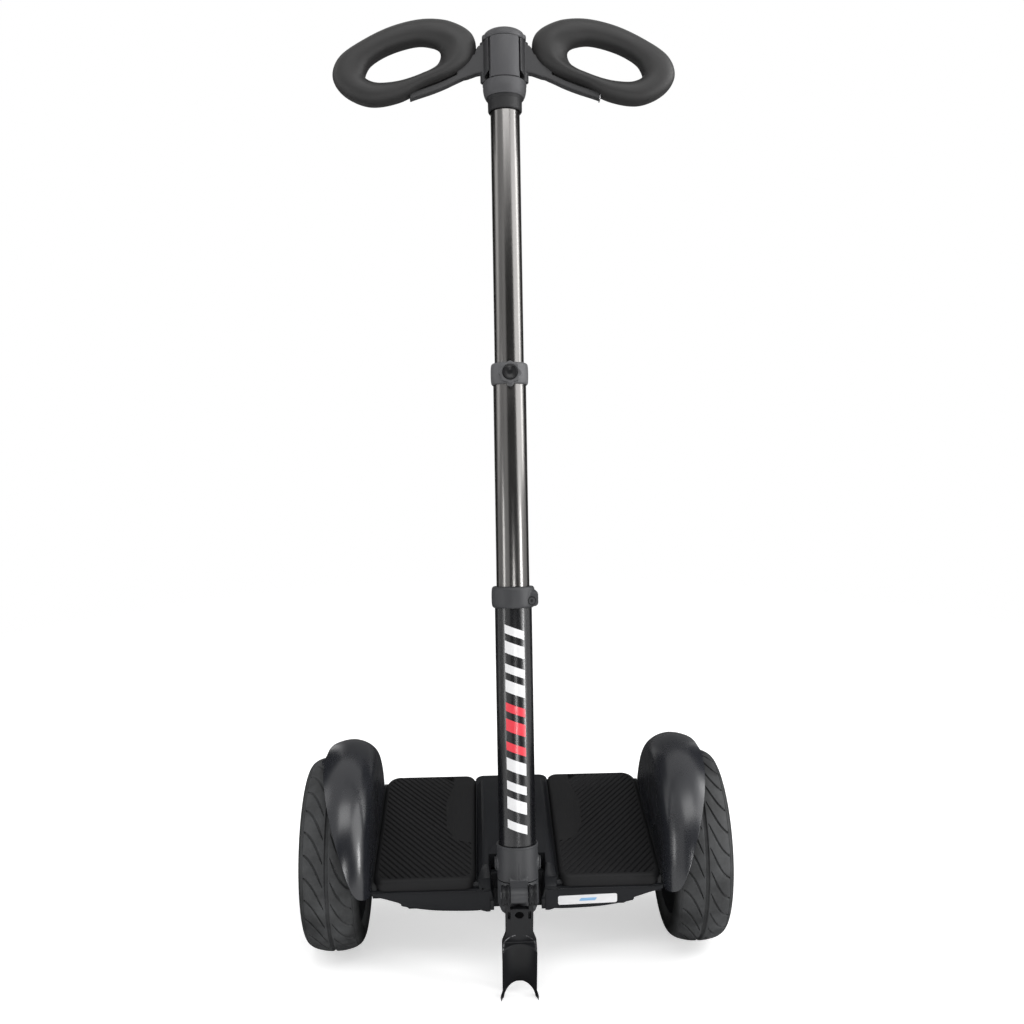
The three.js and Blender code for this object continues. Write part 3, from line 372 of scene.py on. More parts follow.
def rectangle(x0, x1, y0, y1):
    return [(x0, y0), (x1, y0), (x1, y1), (x0, y1)]


def hexagon(radius):
    return [(radius * math.cos(i * math.pi / 3), radius * math.sin(i * math.pi / 3)) for i in range(6)]


def lathe(profile, sides=96, place=None):
    """A closed profile of radius and height turned about Z."""
    points, faces = [], []
    for radius, height in profile:
        for k in range(sides):
            angle = 2 * math.pi * k / sides
            points.append((radius * math.cos(angle), radius * math.sin(angle), height))
    rows = len(profile)
    for i in range(rows):
        j = (i + 1) % rows
        if profile[i][0] < 1e-6 and profile[j][0] < 1e-6:
            continue
        for k in range(sides):
            n = (k + 1) % sides
            faces.append((i * sides + k, i * sides + n, j * sides + n, j * sides + k))
    return new_shape(points, faces, place)


def rod(radius, low, high, edge=0.0, sides=64, place=None):
    edge = min(edge, radius / 2, (high - low) / 2.2)
    profile = [(0, low), (radius, low), (radius, high), (0, high)]
    if edge > 0:
        soft = fillet(profile, edge, 3)
        profile = [(0, low)] + [p for p in soft if p[0] > radius * 0.4] + [(0, high)]
    return lathe(profile, sides, place)


def slab(outline, low, high, edge=0.0, place=None):
    """An outline given thickness along Z, with its long edges rounded."""
    n = len(outline)
    points = [(x, y, low) for x, y in outline] + [(x, y, high) for x, y in outline]
    faces = [tuple(range(n - 1, -1, -1)), tuple(range(n, 2 * n))]
    faces += [(i, (i + 1) % n, n + (i + 1) % n, n + i) for i in range(n)]
    shape = new_shape(points, faces)
    if edge > 0:
        with edited(shape.data) as work:
            rims = [e for e in work.edges if abs(e.verts[0].co.z - e.verts[1].co.z) < 1e-9]
            bmesh.ops.bevel(work, geom=rims, offset=edge, segments=3, profile=0.5, affect="EDGES",
                            clamp_overlap=True)
    return put(shape, place) if place is not None else shape


def block(x0, x1, y0, y1, z0, z1, edge=0.0):
    return slab(rectangle(x0, x1, y0, y1), z0, z1, edge)


def shade(shape, sharp=32):
    """Smooth faces, with the edges over that many degrees kept sharp."""
    with edited(shape.data) as work:
        for face in work.faces:
            face.smooth = True
        for edge in work.edges:
            edge.smooth = len(edge.link_faces) == 2 and edge.calc_face_angle(0) < math.radians(sharp)
    return shape


def soften(shape, edge, sharp=32):
    """Rounds the edges over that many degrees."""
    with edited(shape.data) as work:
        bmesh.ops.remove_doubles(work, verts=work.verts, dist=2e-6)
        bmesh.ops.dissolve_limit(work, angle_limit=math.radians(0.6), verts=work.verts, edges=work.edges)
    modify(shape, "BEVEL", width=edge, segments=2, limit_method="ANGLE", angle_limit=math.radians(sharp),
           use_clamp_overlap=True, miter_outer="MITER_ARC")
    return settle(shape)


def cast(shape, grain, passes=4):
    """Melts the joints of a shape together, as in a casting or a moulding."""
    modify(shape, "REMESH", mode="VOXEL", voxel_size=grain)
    modify(shape, "SMOOTH", factor=0.5, iterations=passes)
    return settle(shape)


def add_to(shape, name, finish, node, sharp=32):
    """Names a finished piece that lies on a CAD node and rides with it."""
    shade(shape, sharp)
    shape.name = name
    shape.data.name = name
    shape.data.materials.clear()
    shape.data.materials.append(finish)
    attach(shape, BODY_OF[node])
    return shape


def show(shape, node, form, finish, sharp=32):
    """Names a finished piece that takes the place of a CAD node."""
    add_to(shape, f"{node}_{form}", finish, node, sharp)
    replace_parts(shape, node)
    return shape


def repaint(node, finish):
    piece = frame["nodes"][node]
    if not piece.material_slots:
        piece.data.materials.append(finish)
    for holder in piece.material_slots:
        holder.material = finish


def deck_place(context):
    sizes = context.scene.transporter_deck
    return Matrix.Translation(AXLE) @ Matrix.Rotation(sizes.nose_down, 4, "X")


def column_place(context):
    sizes = context.scene.transporter_column
    foot = Matrix.Translation((0, sizes.base_y, sizes.base_z))
    return deck_place(context) @ foot @ Matrix.Rotation(-sizes.lean, 4, "X")


def both(name, place):
    """The node's name and its place on the right side, then on the left."""
    return (f"{name}_right", place), (f"{name}_left", MIRROR_X @ place)


# Finishes

class Value:
    """A socket that takes part in sums."""

    def __init__(self, graph, socket):
        self.graph = graph
        self.socket = socket

    def maths(self, operation, *others):
        values = dict(enumerate(others, 1))
        return self.graph.add("ShaderNodeMath", {"operation": operation}, {0: self, **values})

    def __add__(self, other):
        return self.maths("ADD", other)

    def __mul__(self, other):
        return self.maths("MULTIPLY", other)

    def __sub__(self, other):
        return self.maths("SUBTRACT", other)

    def __gt__(self, other):
        return self.maths("GREATER_THAN", other)


class Graph:
    """The nodes of a material or of the world."""

    def __init__(self, tree):
        self.tree = tree

    def feed(self, socket, value):
        if isinstance(value, Value):
            self.tree.links.new(value.socket, socket)
        elif hasattr(value, "__len__") and len(value) == 3 and socket.type == "RGBA":
            socket.default_value = (*value, 1)
        else:
            socket.default_value = value

    def add(self, kind, settings, sockets, result=0):
        node = self.tree.nodes.new(kind)
        for name, value in settings.items():
            setattr(node, name, value)
        for name, value in sockets.items():
            self.feed(node.inputs[name], value)
        return Value(self, node.outputs[result]) if node.outputs else None

    def seen(self):
        """1 where the camera, a reflection or glass looks on."""
        kinds = ("Camera", "Glossy", "Transmission")
        rays = [self.add("ShaderNodeLightPath", {}, {}, f"Is {kind} Ray") for kind in kinds]
        return rays[0].maths("MAXIMUM", rays[1]).maths("MAXIMUM", rays[2])


class Finish(Graph):
    """A material of one principled shader."""

    def __init__(self, name, colour, roughness, **settings):
        self.material = bpy.data.materials.new(name)
        self.material.use_nodes = True
        super().__init__(self.material.node_tree)
        self.shader = self.tree.nodes["Principled BSDF"]
        self.shader.inputs["Base Color"].default_value = (*colour, 1)
        self.shader.inputs["Roughness"].default_value = roughness
        for socket, value in settings.items():
            self.shader.inputs[socket.replace("_", " ")].default_value = value

    def place(self):
        return self.add("ShaderNodeTexCoord", {}, {}, "Object")

    def noise(self, scale, detail=2.0, roughness=0.5, place=None):
        return self.add("ShaderNodeTexNoise", {}, {
            "Vector": place or self.place(), "Scale": scale, "Detail": detail, "Roughness": roughness})

    def grains(self, scale):
        return self.add("ShaderNodeTexVoronoi", {}, {"Vector": self.place(), "Scale": scale})

    def stretched(self, scale):
        return self.add("ShaderNodeMapping", {}, {"Vector": self.place(), "Scale": scale})

    def tones(self, factor, dark, light):
        mix = self.tree.nodes.new("ShaderNodeMix")
        mix.data_type = "RGBA"
        sockets = {socket.identifier: socket for socket in mix.inputs}
        self.feed(sockets["Factor_Float"], factor)
        self.feed(sockets["A_Color"], dark)
        self.feed(sockets["B_Color"], light)
        return Value(self, mix.outputs[2])

    def range(self, value, low, high, to_low, to_high):
        return self.add("ShaderNodeMapRange", {}, {0: value, 1: low, 2: high, 3: to_low, 4: to_high})

    def paint(self, value):
        self.feed(self.shader.inputs["Base Color"], value)

    def rough(self, value):
        self.feed(self.shader.inputs["Roughness"], value)

    def bump(self, height, distance):
        self.feed(self.shader.inputs["Normal"], self.add("ShaderNodeBump", {}, {
            "Height": height, "Distance": distance, "Strength": 1.0}, "Normal"))


def tinted(colour, share):
    return tuple(min(channel * share, 1) for channel in colour)


@cache
def moulded(name, colour, roughness, grain=900, relief=0.00012, variation=0.16, coat=0.0, shine=0.3):
    """Moulded plastic with a fine spark-eroded grain and faint handling marks."""
    finish = Finish(name, colour, roughness, Coat_Weight=coat, Coat_Roughness=0.25, Specular_IOR_Level=shine)
    cloud = finish.noise(14, 3)
    fine = finish.noise(grain, 3, 0.6)
    finish.paint(finish.tones(cloud, tinted(colour, 1 - variation), tinted(colour, 1 + variation)))
    finish.rough(finish.range(cloud * 0.7 + fine * 0.3, 0.3, 0.7, roughness - 0.06, roughness + 0.07))
    finish.bump(fine, relief)
    return finish.material


def tyre_rubber(colours, edge):
    """Rubber with road dust on its tread, out to that distance from the tyre's middle; beyond it the sides
    get painted shade, much darker.
    """
    colour = tuple(colours.tyre)
    finish = Finish("tyre_rubber", colour, 0.62, Specular_IOR_Level=0.18)
    dust = finish.noise(26, 4, 0.65)
    fine = finish.noise(1400, 2, 0.6)
    across = finish.add("ShaderNodeSeparateXYZ", {}, {0: finish.place()})
    off = (across.maths("ABSOLUTE") - WHEEL_X).maths("ABSOLUTE")
    tread = finish.tones(finish.range(dust, 0.35, 0.72, 0, 1), tinted(colour, 0.8), tinted(colour, 1.9))
    # Beyond the tread the sides are painted at about a sixth of the colour: painted shade, as under the deck.
    finish.paint(finish.tones(finish.range(off, edge, edge + 0.008, 1, 0), tinted(colour, 0.16), tread))
    finish.rough(finish.range(dust, 0.3, 0.7, 0.5, 0.7))
    finish.bump(fine, 0.00015)
    return finish.material


@cache
def polished_tube(name, colour, roughness, metallic, coat):
    """Polished metal or lacquer with faint drawn lines along the tube."""
    finish = Finish(name, colour, roughness, Metallic=metallic, Coat_Weight=coat, Coat_Roughness=0.06)
    drawn = finish.noise(1, 3, 0.6, finish.stretched((900, 900, 12)))
    cloud = finish.noise(9, 2)
    finish.paint(finish.tones(cloud, tinted(colour, 0.93), tinted(colour, 1.07)))
    finish.rough(finish.range(drawn * 0.6 + cloud * 0.4, 0.3, 0.7, roughness - 0.03, roughness + 0.05))
    finish.bump(drawn, 0.00001)
    return finish.material


def grip_foam(colours):
    colour = tuple(colours.foam)
    finish = Finish("grip_foam", colour, 0.52, Specular_IOR_Level=0.3)
    cells = finish.grains(1500)
    cloud = finish.noise(22, 4, 0.6)
    finish.paint(finish.tones(cloud, tinted(colour, 0.86), tinted(colour, 1.15)))
    finish.rough(finish.range(cloud, 0.3, 0.7, 0.46, 0.6))
    finish.bump(cells * 0.5 + cloud * 2.0, 0.00016)
    return finish.material


@cache
def plain_mark(name, colour):
    """Printed film, a little uneven."""
    finish = Finish(name, colour, 0.35, Coat_Weight=0.3, Coat_Roughness=0.15)
    cloud = finish.noise(120, 3)
    finish.paint(finish.tones(cloud, tinted(colour, 0.94), tinted(colour, 1.04)))
    finish.rough(finish.range(cloud, 0.3, 0.7, 0.3, 0.42))
    return finish.material


@cache
def brushed_metal(name, colour, roughness=0.3):
    finish = Finish(name, colour, roughness, Metallic=1.0)
    lines = finish.noise(1, 3, 0.6, finish.stretched((60, 1500, 1500)))
    finish.paint(finish.tones(lines, tinted(colour, 0.85), tinted(colour, 1.12)))
    finish.rough(finish.range(lines, 0.3, 0.7, roughness - 0.06, roughness + 0.08))
    finish.bump(lines, 0.00002)
    return finish.material


def shell_plastic(colours):
    return moulded("shell_plastic", tuple(colours.shell), 0.42, shine=0.22)


def fender_plastic(colours):
    return moulded("fender_plastic", tuple(colours.fender), 0.27, grain=600, relief=0.000002, coat=0.2,
                   shine=0.42)


def mat_rubber(colours):
    return moulded("mat_rubber", tuple(colours.mat), 0.55, grain=1300, relief=0.00012, shine=0.14)


def cast_plastic(colours):
    return moulded("cast_plastic", tuple(colours.casting), 0.46, grain=1100, relief=0.00016)


def arm_plastic(colours):
    return moulded("arm_plastic", tuple(colours.arm), 0.46, grain=1500, relief=0.00014)


def collar_plastic(colours):
    return moulded("collar_plastic", tuple(colours.pale), 0.48, grain=1500, relief=0.00014)


def sleeve_plastic(colours):
    return moulded("sleeve_plastic", tuple(colours.sleeve), 0.5, grain=1500, relief=0.0001)


def leg_plastic(colours, arc):
    """Dark casting with pale scuffs and a painted highlight along an arc, given by its height and radius."""
    colour = tuple(colours.leg)
    finish = Finish("leg_plastic", colour, 0.34, Specular_IOR_Level=0.13)
    cloud = finish.noise(14, 3)
    fine = finish.noise(1100, 3, 0.6)
    split = finish.add("ShaderNodeSeparateXYZ", {}, {0: finish.place()})
    height = Value(finish, split.socket.node.outputs[2]) - arc[0]
    off = (split * split + height * height).maths("SQRT") - arc[1]
    patchy = finish.noise(210, 3, 0.6)
    band = finish.range(off * off, 0, 0.0009 ** 2, 1, 0) * finish.range(patchy, 0.40, 0.60, 0, 1)
    stronger_on_left = finish.range(split, -0.004, 0.012, 1, 0.35)
    # The pale band is partly scuffs and partly a painted highlight on the ridge, stronger on the left.
    scuff_and_highlight = band * (split * split > 0.005 ** 2) * (height > 0.0055) * stronger_on_left
    smooth = finish.tones(cloud, tinted(colour, 0.85), tinted(colour, 1.15))
    finish.paint(finish.tones(scuff_and_highlight, smooth, (0.32, 0.32, 0.33)))
    finish.rough(finish.range(scuff_and_highlight + cloud * 0.2, 0, 1, 0.32, 0.6))
    finish.bump(fine - scuff_and_highlight, 0.00012)
    return finish.material


# Near-black for a disc inside the leg's hole: painted shade in the hole.
def painted_hole_shade():
    return moulded("hole_painted_shade", (0.0012, 0.0012, 0.0013), 0.7, relief=0.00004, shine=0.02)


def tunnel_plastic(colours):
    return moulded("tunnel_plastic", tuple(colours.shell), 0.33, grain=700, relief=0.00003, shine=0.1)


def head_plastic(colours):
    return moulded("head_plastic", tuple(colours.plastic), 0.48, grain=1500, relief=0.00014)


def hub_paint(colours):
    return moulded("hub_paint", tuple(colours.hub), 0.45, grain=1800, relief=0.0001, shine=0.1)


def gloss_plastic(colours):
    return moulded("gloss_plastic", tuple(colours.gloss), 0.3, grain=500, relief=0.00001, shine=0.2)


def bare_steel(colours):
    return brushed_metal("bare_steel", tuple(colours.steel))


def lamp_lens(colours):
    finish = Finish("lamp_lens", tuple(colours.lamp), 0.15, Coat_Weight=0.6)
    ribs = finish.add("ShaderNodeTexWave", {"wave_type": "BANDS"}, {"Vector": finish.place(), "Scale": 300})
    finish.bump(ribs, 0.0004)
    finish.rough(finish.range(ribs, 0, 1, 0.12, 0.25))
    return finish.material


# Wheels

def tread_cut(sizes, across, around):
    """Depth of the tread's grooves at a place across the tyre and round it."""
    side = abs(across)
    depth = 0.0
    if side < sizes.groove_half:
        depth = sizes.groove_depth * (1 - (side / sizes.groove_half) ** 4)
    edge = sizes.tread_edge
    near = 0.0045
    line = abs(side - edge) / 0.0006
    if line < 1:
        depth = max(depth, 0.0008 * (1 - line * line))
    if near < side < edge - 0.0008:
        share = (edge - side) / (edge - near)
        sweep = sizes.sipe_sweep * share ** 1.7
        slope = sizes.sipe_sweep * 1.7 * share ** 0.7 / (edge - near)
        pitch = 2 * math.pi * sizes.radius / sizes.sipes
        sense = 1 if across < 0 else -1
        place = around - sense * sweep + (pitch / 2 if across > 0 else 0)
        off = abs(place % pitch - pitch / 2) / math.sqrt(1 + slope * slope)
        width = sizes.sipe_half * min(1, 0.35 + share * 9) * min(1, 0.25 + (1 - share) * 3.2)
        if off < width:
            depth = max(depth, sizes.sipe_depth * min(1, (1 - (off / width) ** 2) * 1.8))
    return depth


class TRANSPORTER_OT_tyres(bpy.types.Operator):
    """Make both tyres, with the middle groove and the curved cuts of the tread"""
    bl_idname = "transporter.tyres"
    bl_label = "Tyres"

    def profile(self, sizes):
        crown = [(0.0, 1.0), (0.16, 1.0), (0.36, 0.98), (0.68, 0.905), (0.9, 0.77), (0.995, 0.56),
                 (0.965, 0.34), (0.84, 0.19), (0.757, 0.134)]
        rise = sizes.radius - sizes.bead
        side = [(across * sizes.half, sizes.bead + up * rise) for across, up in crown]
        smooth = spline(side, 16)
        fine = []
        for (x0, r0), (x1, r1) in zip(smooth, smooth[1:]):
            steps = max(1, math.ceil(math.hypot(x1 - x0, r1 - r0) / 0.0008))
            fine += [(x0 + (x1 - x0) * k / steps, r0 + (r1 - r0) * k / steps) for k in range(steps)]
        fine.append(smooth[-1])
        return [(-x, r) for x, r in reversed(fine[1:])] + fine

    def tyre(self, sizes, x):
        outer = self.profile(sizes)
        inner = [(sizes.bead_half, sizes.bead), (sizes.bead_half - 0.007, sizes.bead),
                 (sizes.half - 0.008, 0.101), (0.0, 0.112), (-sizes.half + 0.008, 0.101),
                 (-sizes.bead_half + 0.007, sizes.bead), (-sizes.bead_half, sizes.bead)]
        rows = len(outer) + len(inner)
        sides = 840
        centre = Vector((x, AXLE.y, AXLE.z))
        points, faces = [], []
        for k in range(sides):
            angle = 2 * math.pi * k / sides
            around = angle * sizes.radius
            turned = (math.cos(angle), math.sin(angle))
            for across, radius in outer:
                depth = tread_cut(sizes, across, around) if radius > sizes.tread_low else 0
                reach = radius - depth
                points.append(centre + Vector((across, reach * turned[0], reach * turned[1])))
            for across, radius in inner:
                points.append(centre + Vector((across, radius * turned[0], radius * turned[1])))
        for k in range(sides):
            n = (k + 1) % sides
            for i in range(rows):
                j = (i + 1) % rows
                faces.append((k * rows + i, k * rows + j, n * rows + j, n * rows + i))
        return new_shape(points, faces)

    def execute(self, context):
        sizes = context.scene.transporter_wheel
        finish = tyre_rubber(context.scene.transporter_colours, sizes.tread_edge)
        for node, x in (("tyre_right", WHEEL_X), ("tyre_left", -WHEEL_X)):
            show(self.tyre(sizes, x), node, "tread", finish, 60)
        return {"FINISHED"}


class TRANSPORTER_OT_hubs(bpy.types.Operator):
    """Make the rims, the slotted hub covers and the axle ends"""
    bl_idname = "transporter.hubs"
    bl_label = "Hubs"

    def rim(self, sizes):
        seat = sizes.bead - GAP
        edge = sizes.bead_half + GAP
        lip = sizes.bead + 0.006
        bore = sizes.axle + GAP
        face = edge + 0.003
        dish = seat - 0.007
        profile = [(bore, -sizes.hub_half), (dish, -face), (lip, -face), (lip, -edge), (seat, -edge),
                   (seat, edge), (lip, edge), (lip, face), (dish, face), (dish, sizes.hub_half),
                   (bore, sizes.hub_half)]
        return lathe(fillet(profile, 0.0012, 3), 120)

    def cover(self, sizes):
        face = sizes.hub_half + GAP
        top = face + sizes.cover_thickness
        radius = sizes.cover
        rim = top - 0.003
        profile = [(0, face), (radius, face), (radius, rim), (radius - 0.005, top), (radius * 0.5, top),
                   (radius / 3, rim), (0, rim)]
        soft = fillet(profile, 0.0018, 4)
        disc = lathe([(0, face)] + [p for p in soft if p[0] > 0.002] + [(0, rim)], 144)
        half = 0.0035
        outline = fillet(rectangle(radius * 0.5 + half, radius - 0.010, -half, half), half, 5)
        slots = [slab(outline, top - 0.002, top + 0.006, 0, Matrix.Rotation(i * 2 * math.pi / 9, 4, "Z"))
                 for i in range(9)]
        return soften(cut(disc, *slots), 0.0005, 40)

    def execute(self, context):
        sizes = context.scene.transporter_wheel
        colours = context.scene.transporter_colours
        out = Matrix.Translation((WHEEL_X, AXLE.y, AXLE.z)) @ TO_X
        low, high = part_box("axle_right")
        for node, place in both("wheel_hub", out):
            show(put(self.rim(sizes), place), node, "rim", hub_paint(colours))
        for node, place in both("hub_cover", out):
            show(put(self.cover(sizes), place), node, "face", hub_paint(colours))
        for node, place in both("axle", out):
            pin = rod(sizes.axle, low.x - WHEEL_X, high.x - WHEEL_X, 0.0012, 48, place)
            show(pin, node, "bar", bare_steel(colours))
        return {"FINISHED"}


# Chassis

class TRANSPORTER_OT_fenders(bpy.types.Operator):
    """Make the domed crescents over the inner half of each tyre"""
    bl_idname = "transporter.fenders"
    bl_label = "Fenders"

    def sheet(self, sizes):
        dome = sizes.dome - sizes.fender_wall
        curve = [(0.003, 0.08), (0.012, 0.24), (0.04, 0.43), (0.1, 0.63), (0.2, 0.81), (0.34, 0.95),
                 (0.5, 1.01), (0.68, 0.96), (0.86, 0.82), (0.995, 0.62)]
        bow = spline([(across * sizes.fender_width, sizes.fender_wall + out * dome)
                      for across, out in curve], 6)
        flat = [(0.0, 0.024 + (sizes.fender_wall - 0.024) * k / 18) for k in range(18)]
        lip = spline([(-0.2, 0.1), (0.0, 0.115), (0.05, 0.132), (0.11, 0.148), (0.236, 0.2), (0.36, 0.33),
                      (0.496, 0.51), (0.6, 0.63), (0.72, 0.76), (0.84, 0.875), (0.93, 0.94), (1.0, 1.0)], 6)
        points, faces = [], []
        rows = flat + bow
        steps = 128
        for x, radius in rows:
            share = x / sizes.fender_width
            low = self.along(lip, share) * sizes.dome
            if x < -0.0002:
                low = max(low, sizes.top + sizes.mat_rise + 0.0006)
            start = math.asin(min(max(low / radius, -1), 0.9995))
            for k in range(steps + 1):
                angle = start + (math.pi - 2 * start) * k / steps
                points.append((x, radius * math.cos(angle), radius * math.sin(angle)))
        width = steps + 1
        for i in range(len(rows) - 1):
            for k in range(steps):
                faces.append((i * width + k, i * width + k + 1, (i + 1) * width + k + 1, (i + 1) * width + k))
        return points, faces

    def along(self, line, share):
        for (x0, y0), (x1, y1) in zip(line, line[1:]):
            if x0 <= share <= x1:
                return y0 + (y1 - y0) * (share - x0) / max(x1 - x0, 1e-9)
        return line[-1][1] if share > line[-1][0] else line[0][1]

    def execute(self, context):
        sizes = context.scene.transporter_deck
        finish = fender_plastic(context.scene.transporter_colours)
        points, faces = self.sheet(sizes)
        for node, place in both("fender", deck_place(context) @ Matrix.Translation((sizes.wall_face, 0, 0))):
            shape = new_shape(points, faces, place)
            top = max(shape.data.polygons, key=lambda face: face.center.z)
            if top.normal.z < 0:
                shape.data.flip_normals()
            modify(shape, "SOLIDIFY", thickness=sizes.fender_sheet, offset=-1, use_even_offset=False)
            show(soften(settle(shape), 0.0007, 60), node, "skin", finish, 50)
        return {"FINISHED"}


class TRANSPORTER_OT_shells(bpy.types.Operator):
    """Make the hull, the deck shell, the tunnel cover and the front strips"""
    bl_idname = "transporter.shells"
    bl_label = "Deck shells"

    def chin(self, spot):
        """The chin draws back under the mats and its top slopes down to the front."""
        if spot.y < -0.1065:
            spot.y = -0.1145 if spot.z > 0.01 else -0.1128
            if spot.z > 0.01:
                spot.z = 0.0152 + (spot.z - 0.0215) * 0.7
        elif spot.y < -0.1 and spot.z > 0.025:
            spot.z = 0.0246

    def ends(self, spot):
        """The lower edge of the shells rises to the fenders in front."""
        if abs(spot.x) > 0.141 and spot.y < -0.02 and spot.z < 0.002:
            spot.z = spot.z * 0.2 + 0.0085 * (abs(spot.x) - 0.14) / 0.038

    def skin(self, context, node):
        shape = put(copy_of(node), deck_place(context).inverted())
        with edited(shape.data) as work:
            for x in (-0.14, 0.14):
                bmesh.ops.bisect_plane(work, geom=[*work.verts, *work.edges, *work.faces],
                                       plane_co=(x, 0, 0), plane_no=(1, 0, 0))
            for vert in work.verts:
                self.chin(vert.co)
                self.ends(vert.co)
            bmesh.ops.triangulate(work, faces=work.faces)
        return shape

    def strip(self, sizes):
        """The front strip, with its lower edge rising to the fender."""
        top, front = sizes.top - sizes.mat_drop, sizes.front
        inner, outer, nose_end, rib_end = 0.0373, 0.1834, 0.0490, 0.128
        edge = spline([(inner, -0.0150), (0.058, -0.0166), (0.1, -0.0150), (rib_end, -0.0110),
                       (0.1455, -0.0072)], 6)
        edge += [(0.1468, -0.0055), (0.1472, -0.0030), (0.166, 0.0038), (outer, 0.0092)]
        face = slab([(inner, top), *edge, (outer, top)], front - 0.005, front - GAP, 0.0016, ALONG_Y)
        nose = slab([(0.0345, front - 0.0085), (0.0395, front - 0.0088), (nose_end, front - 0.0049),
                     (nose_end, front), (inner, front)], -0.0152, top - 0.0004, 0.0008)
        rib = [(inner, -0.0085), *[(x, z + 0.0006) for x, z in edge if z < -0.0095], (rib_end, -0.0085)]
        back = slab(rib, front - 0.002, front + 0.007, 0, ALONG_Y)
        rail = block(nose_end + 0.001, outer - 0.0019, front - 0.0064, front - 0.0040, top - 0.0024,
                     top - 0.0004, 0.0008)
        return join(face, back, nose, rail)

    def execute(self, context):
        sizes = context.scene.transporter_deck
        colours = context.scene.transporter_colours
        shell, tunnel = shell_plastic(colours), tunnel_plastic(colours)
        deck = deck_place(context)
        for node, edge, finish in (("hull_lower", 0.0012, shell), ("deck_shell", 0.0006, shell),
                                   ("tunnel_cover", 0.0009, tunnel)):
            show(put(soften(self.skin(context, node), edge), deck), node, "skin", finish)
        for node, place in both("front_bumper", deck):
            show(put(self.strip(sizes), place), node, "skin", tunnel)
        inset = 0.011
        for name, place in both("deck_shell_edge", deck):
            seal = block(0.1740, sizes.wall_face + 0.0006, sizes.front + inset, sizes.rear - inset, -0.006,
                         sizes.top + 0.0036, 0.0006)
            add_to(put(seal, place), name, shell, "deck_shell")
        return {"FINISHED"}


class TRANSPORTER_OT_mats(bpy.types.Operator):
    """Make both foot mats, with their slanting grooves and rolled front lips"""
    bl_idname = "transporter.mats"
    bl_label = "Foot mats"

    def mat(self, sizes):
        low = sizes.top + GAP
        high = low + sizes.mat_rise
        x0, x1 = sizes.mat_inner, sizes.mat_outer
        y0, y1 = sizes.front - sizes.mat_lip, sizes.rear + 0.0006
        cx, cy, corner = sizes.mat_clip_x, sizes.mat_clip_y, sizes.mat_corner
        outline = fillet([
            (x0, y0), (x1 - cx / 2, y0), (x1, y0 + cy / 2), (x1, y1 - cy),
            (x1 - cx / 3, y1 - cy / 3), (x1 - cx, y1), (x0, y1)], corner, 8)
        plate = slab(outline, low - 0.014, high, sizes.mat_edge)
        below = block(x0 - 0.01, x1 + 0.01, sizes.front - GAP, y1 + 0.01, low - 0.02, low)
        under = block(x0 - 0.01, x1 + 0.01, y0 - 0.01, sizes.front, low - 0.02, low - sizes.mat_drop)
        middle = Vector(((x0 + x1) / 2, (y0 + y1) / 2))
        border = 0.006
        field = slab([(middle.x + (x - middle.x) * (1 - 2 * border / (x1 - x0)),
                       middle.y + (y - middle.y) * (1 - 2 * border / (y1 - y0))) for x, y in outline],
                     low, high + 0.006)
        reach = (x1 - x0 + y1 - y0) / 2
        count = int(2 * reach / sizes.groove_pitch)
        half, depth = sizes.groove_half, sizes.groove_depth
        trough = [(-half * 0.45, high - depth), (half * 0.45, high - depth), (half * 1.5, high + 0.0006),
                  (-half * 1.5, high + 0.0006)]
        place = Matrix.Translation((middle.x, middle.y, 0)) @ Matrix.Rotation(sizes.groove_turn, 4, "Z")
        starts = [-reach + i * sizes.groove_pitch for i in range(count)]
        bars = [slab([(y + at, z) for y, z in trough], -reach, reach, 0, place @ ALONG_X) for at in starts]
        w, d = x1 - x0, y1 - y0
        edge = [(0.2, 0.66), (0.3, 0.55), (0.32, 0.3), (0.24, 0.12)]
        curve = [(x0 + across * w, y1 - along * d) for across, along in edge]
        plain = slab(fillet([(x0 - 0.006, y1 + 0.006), (x0 - 0.006, y1 - 0.7 * d), *curve,
                             (x0 + 0.24 * w, y1 + 0.006)], 0.02), low - 0.006, high + 0.012)
        grooves = cut(common(join(bars[0], *bars[1:]), field), plain)
        return soften(cut(plate, below, under, grooves), 0.0003, 40)

    def execute(self, context):
        sizes = context.scene.transporter_deck
        finish = mat_rubber(context.scene.transporter_colours)
        for node, place in both("foot_mat", deck_place(context)):
            piece = show(put(self.mat(sizes), place), node, "rubber", finish)
        return {"FINISHED"}


class TRANSPORTER_OT_fittings(bpy.types.Operator):
    """Make the tail lamps and the cap of the charge port"""
    bl_idname = "transporter.fittings"
    bl_label = "Rear fittings"

    def execute(self, context):
        colours = context.scene.transporter_colours
        lens = lamp_lens(colours)
        for node in ("tail_lamp_right", "tail_lamp_left"):
            show(soften(copy_of(node), 0.0012), node, "lens", lens)
        cap = "charge_port_cap"
        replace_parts(add_to(soften(copy_of(cap), 0.0012), "charge_port_plug", mat_rubber(colours), cap), cap)
        return {"FINISHED"}


class TRANSPORTER_OT_inner_parts(bpy.types.Operator):
    """Give the parts inside the deck and the tubes their finishes"""
    bl_idname = "transporter.inner_parts"
    bl_label = "Inner parts"

    def execute(self, context):
        colours = context.scene.transporter_colours
        film = moulded("cell_film", (0.03, 0.08, 0.24), 0.35, grain=300, relief=0.0002)
        board = moulded("board_lacquer", (0.012, 0.07, 0.035), 0.4, grain=700, relief=0.0001)
        buffer = mat_rubber(colours)
        metal = cast_plastic(colours)
        steel = bare_steel(colours)
        for finish, nodes in (
                (film, ["battery_pack"]),
                (board, ["control_board"]),
                (buffer, ["lean_stop_left", "lean_stop_right"]),
                (metal, ["axle_clamp_left", "axle_clamp_right", "steer_bearing_front", "steer_bearing_rear",
                         "steer_lever"]),
                (steel, ["steer_shaft", "stand_pin", "hinge_pin_left", "hinge_pin_right"])):
            for node in nodes:
                repaint(node, finish)
        return {"FINISHED"}


# Column

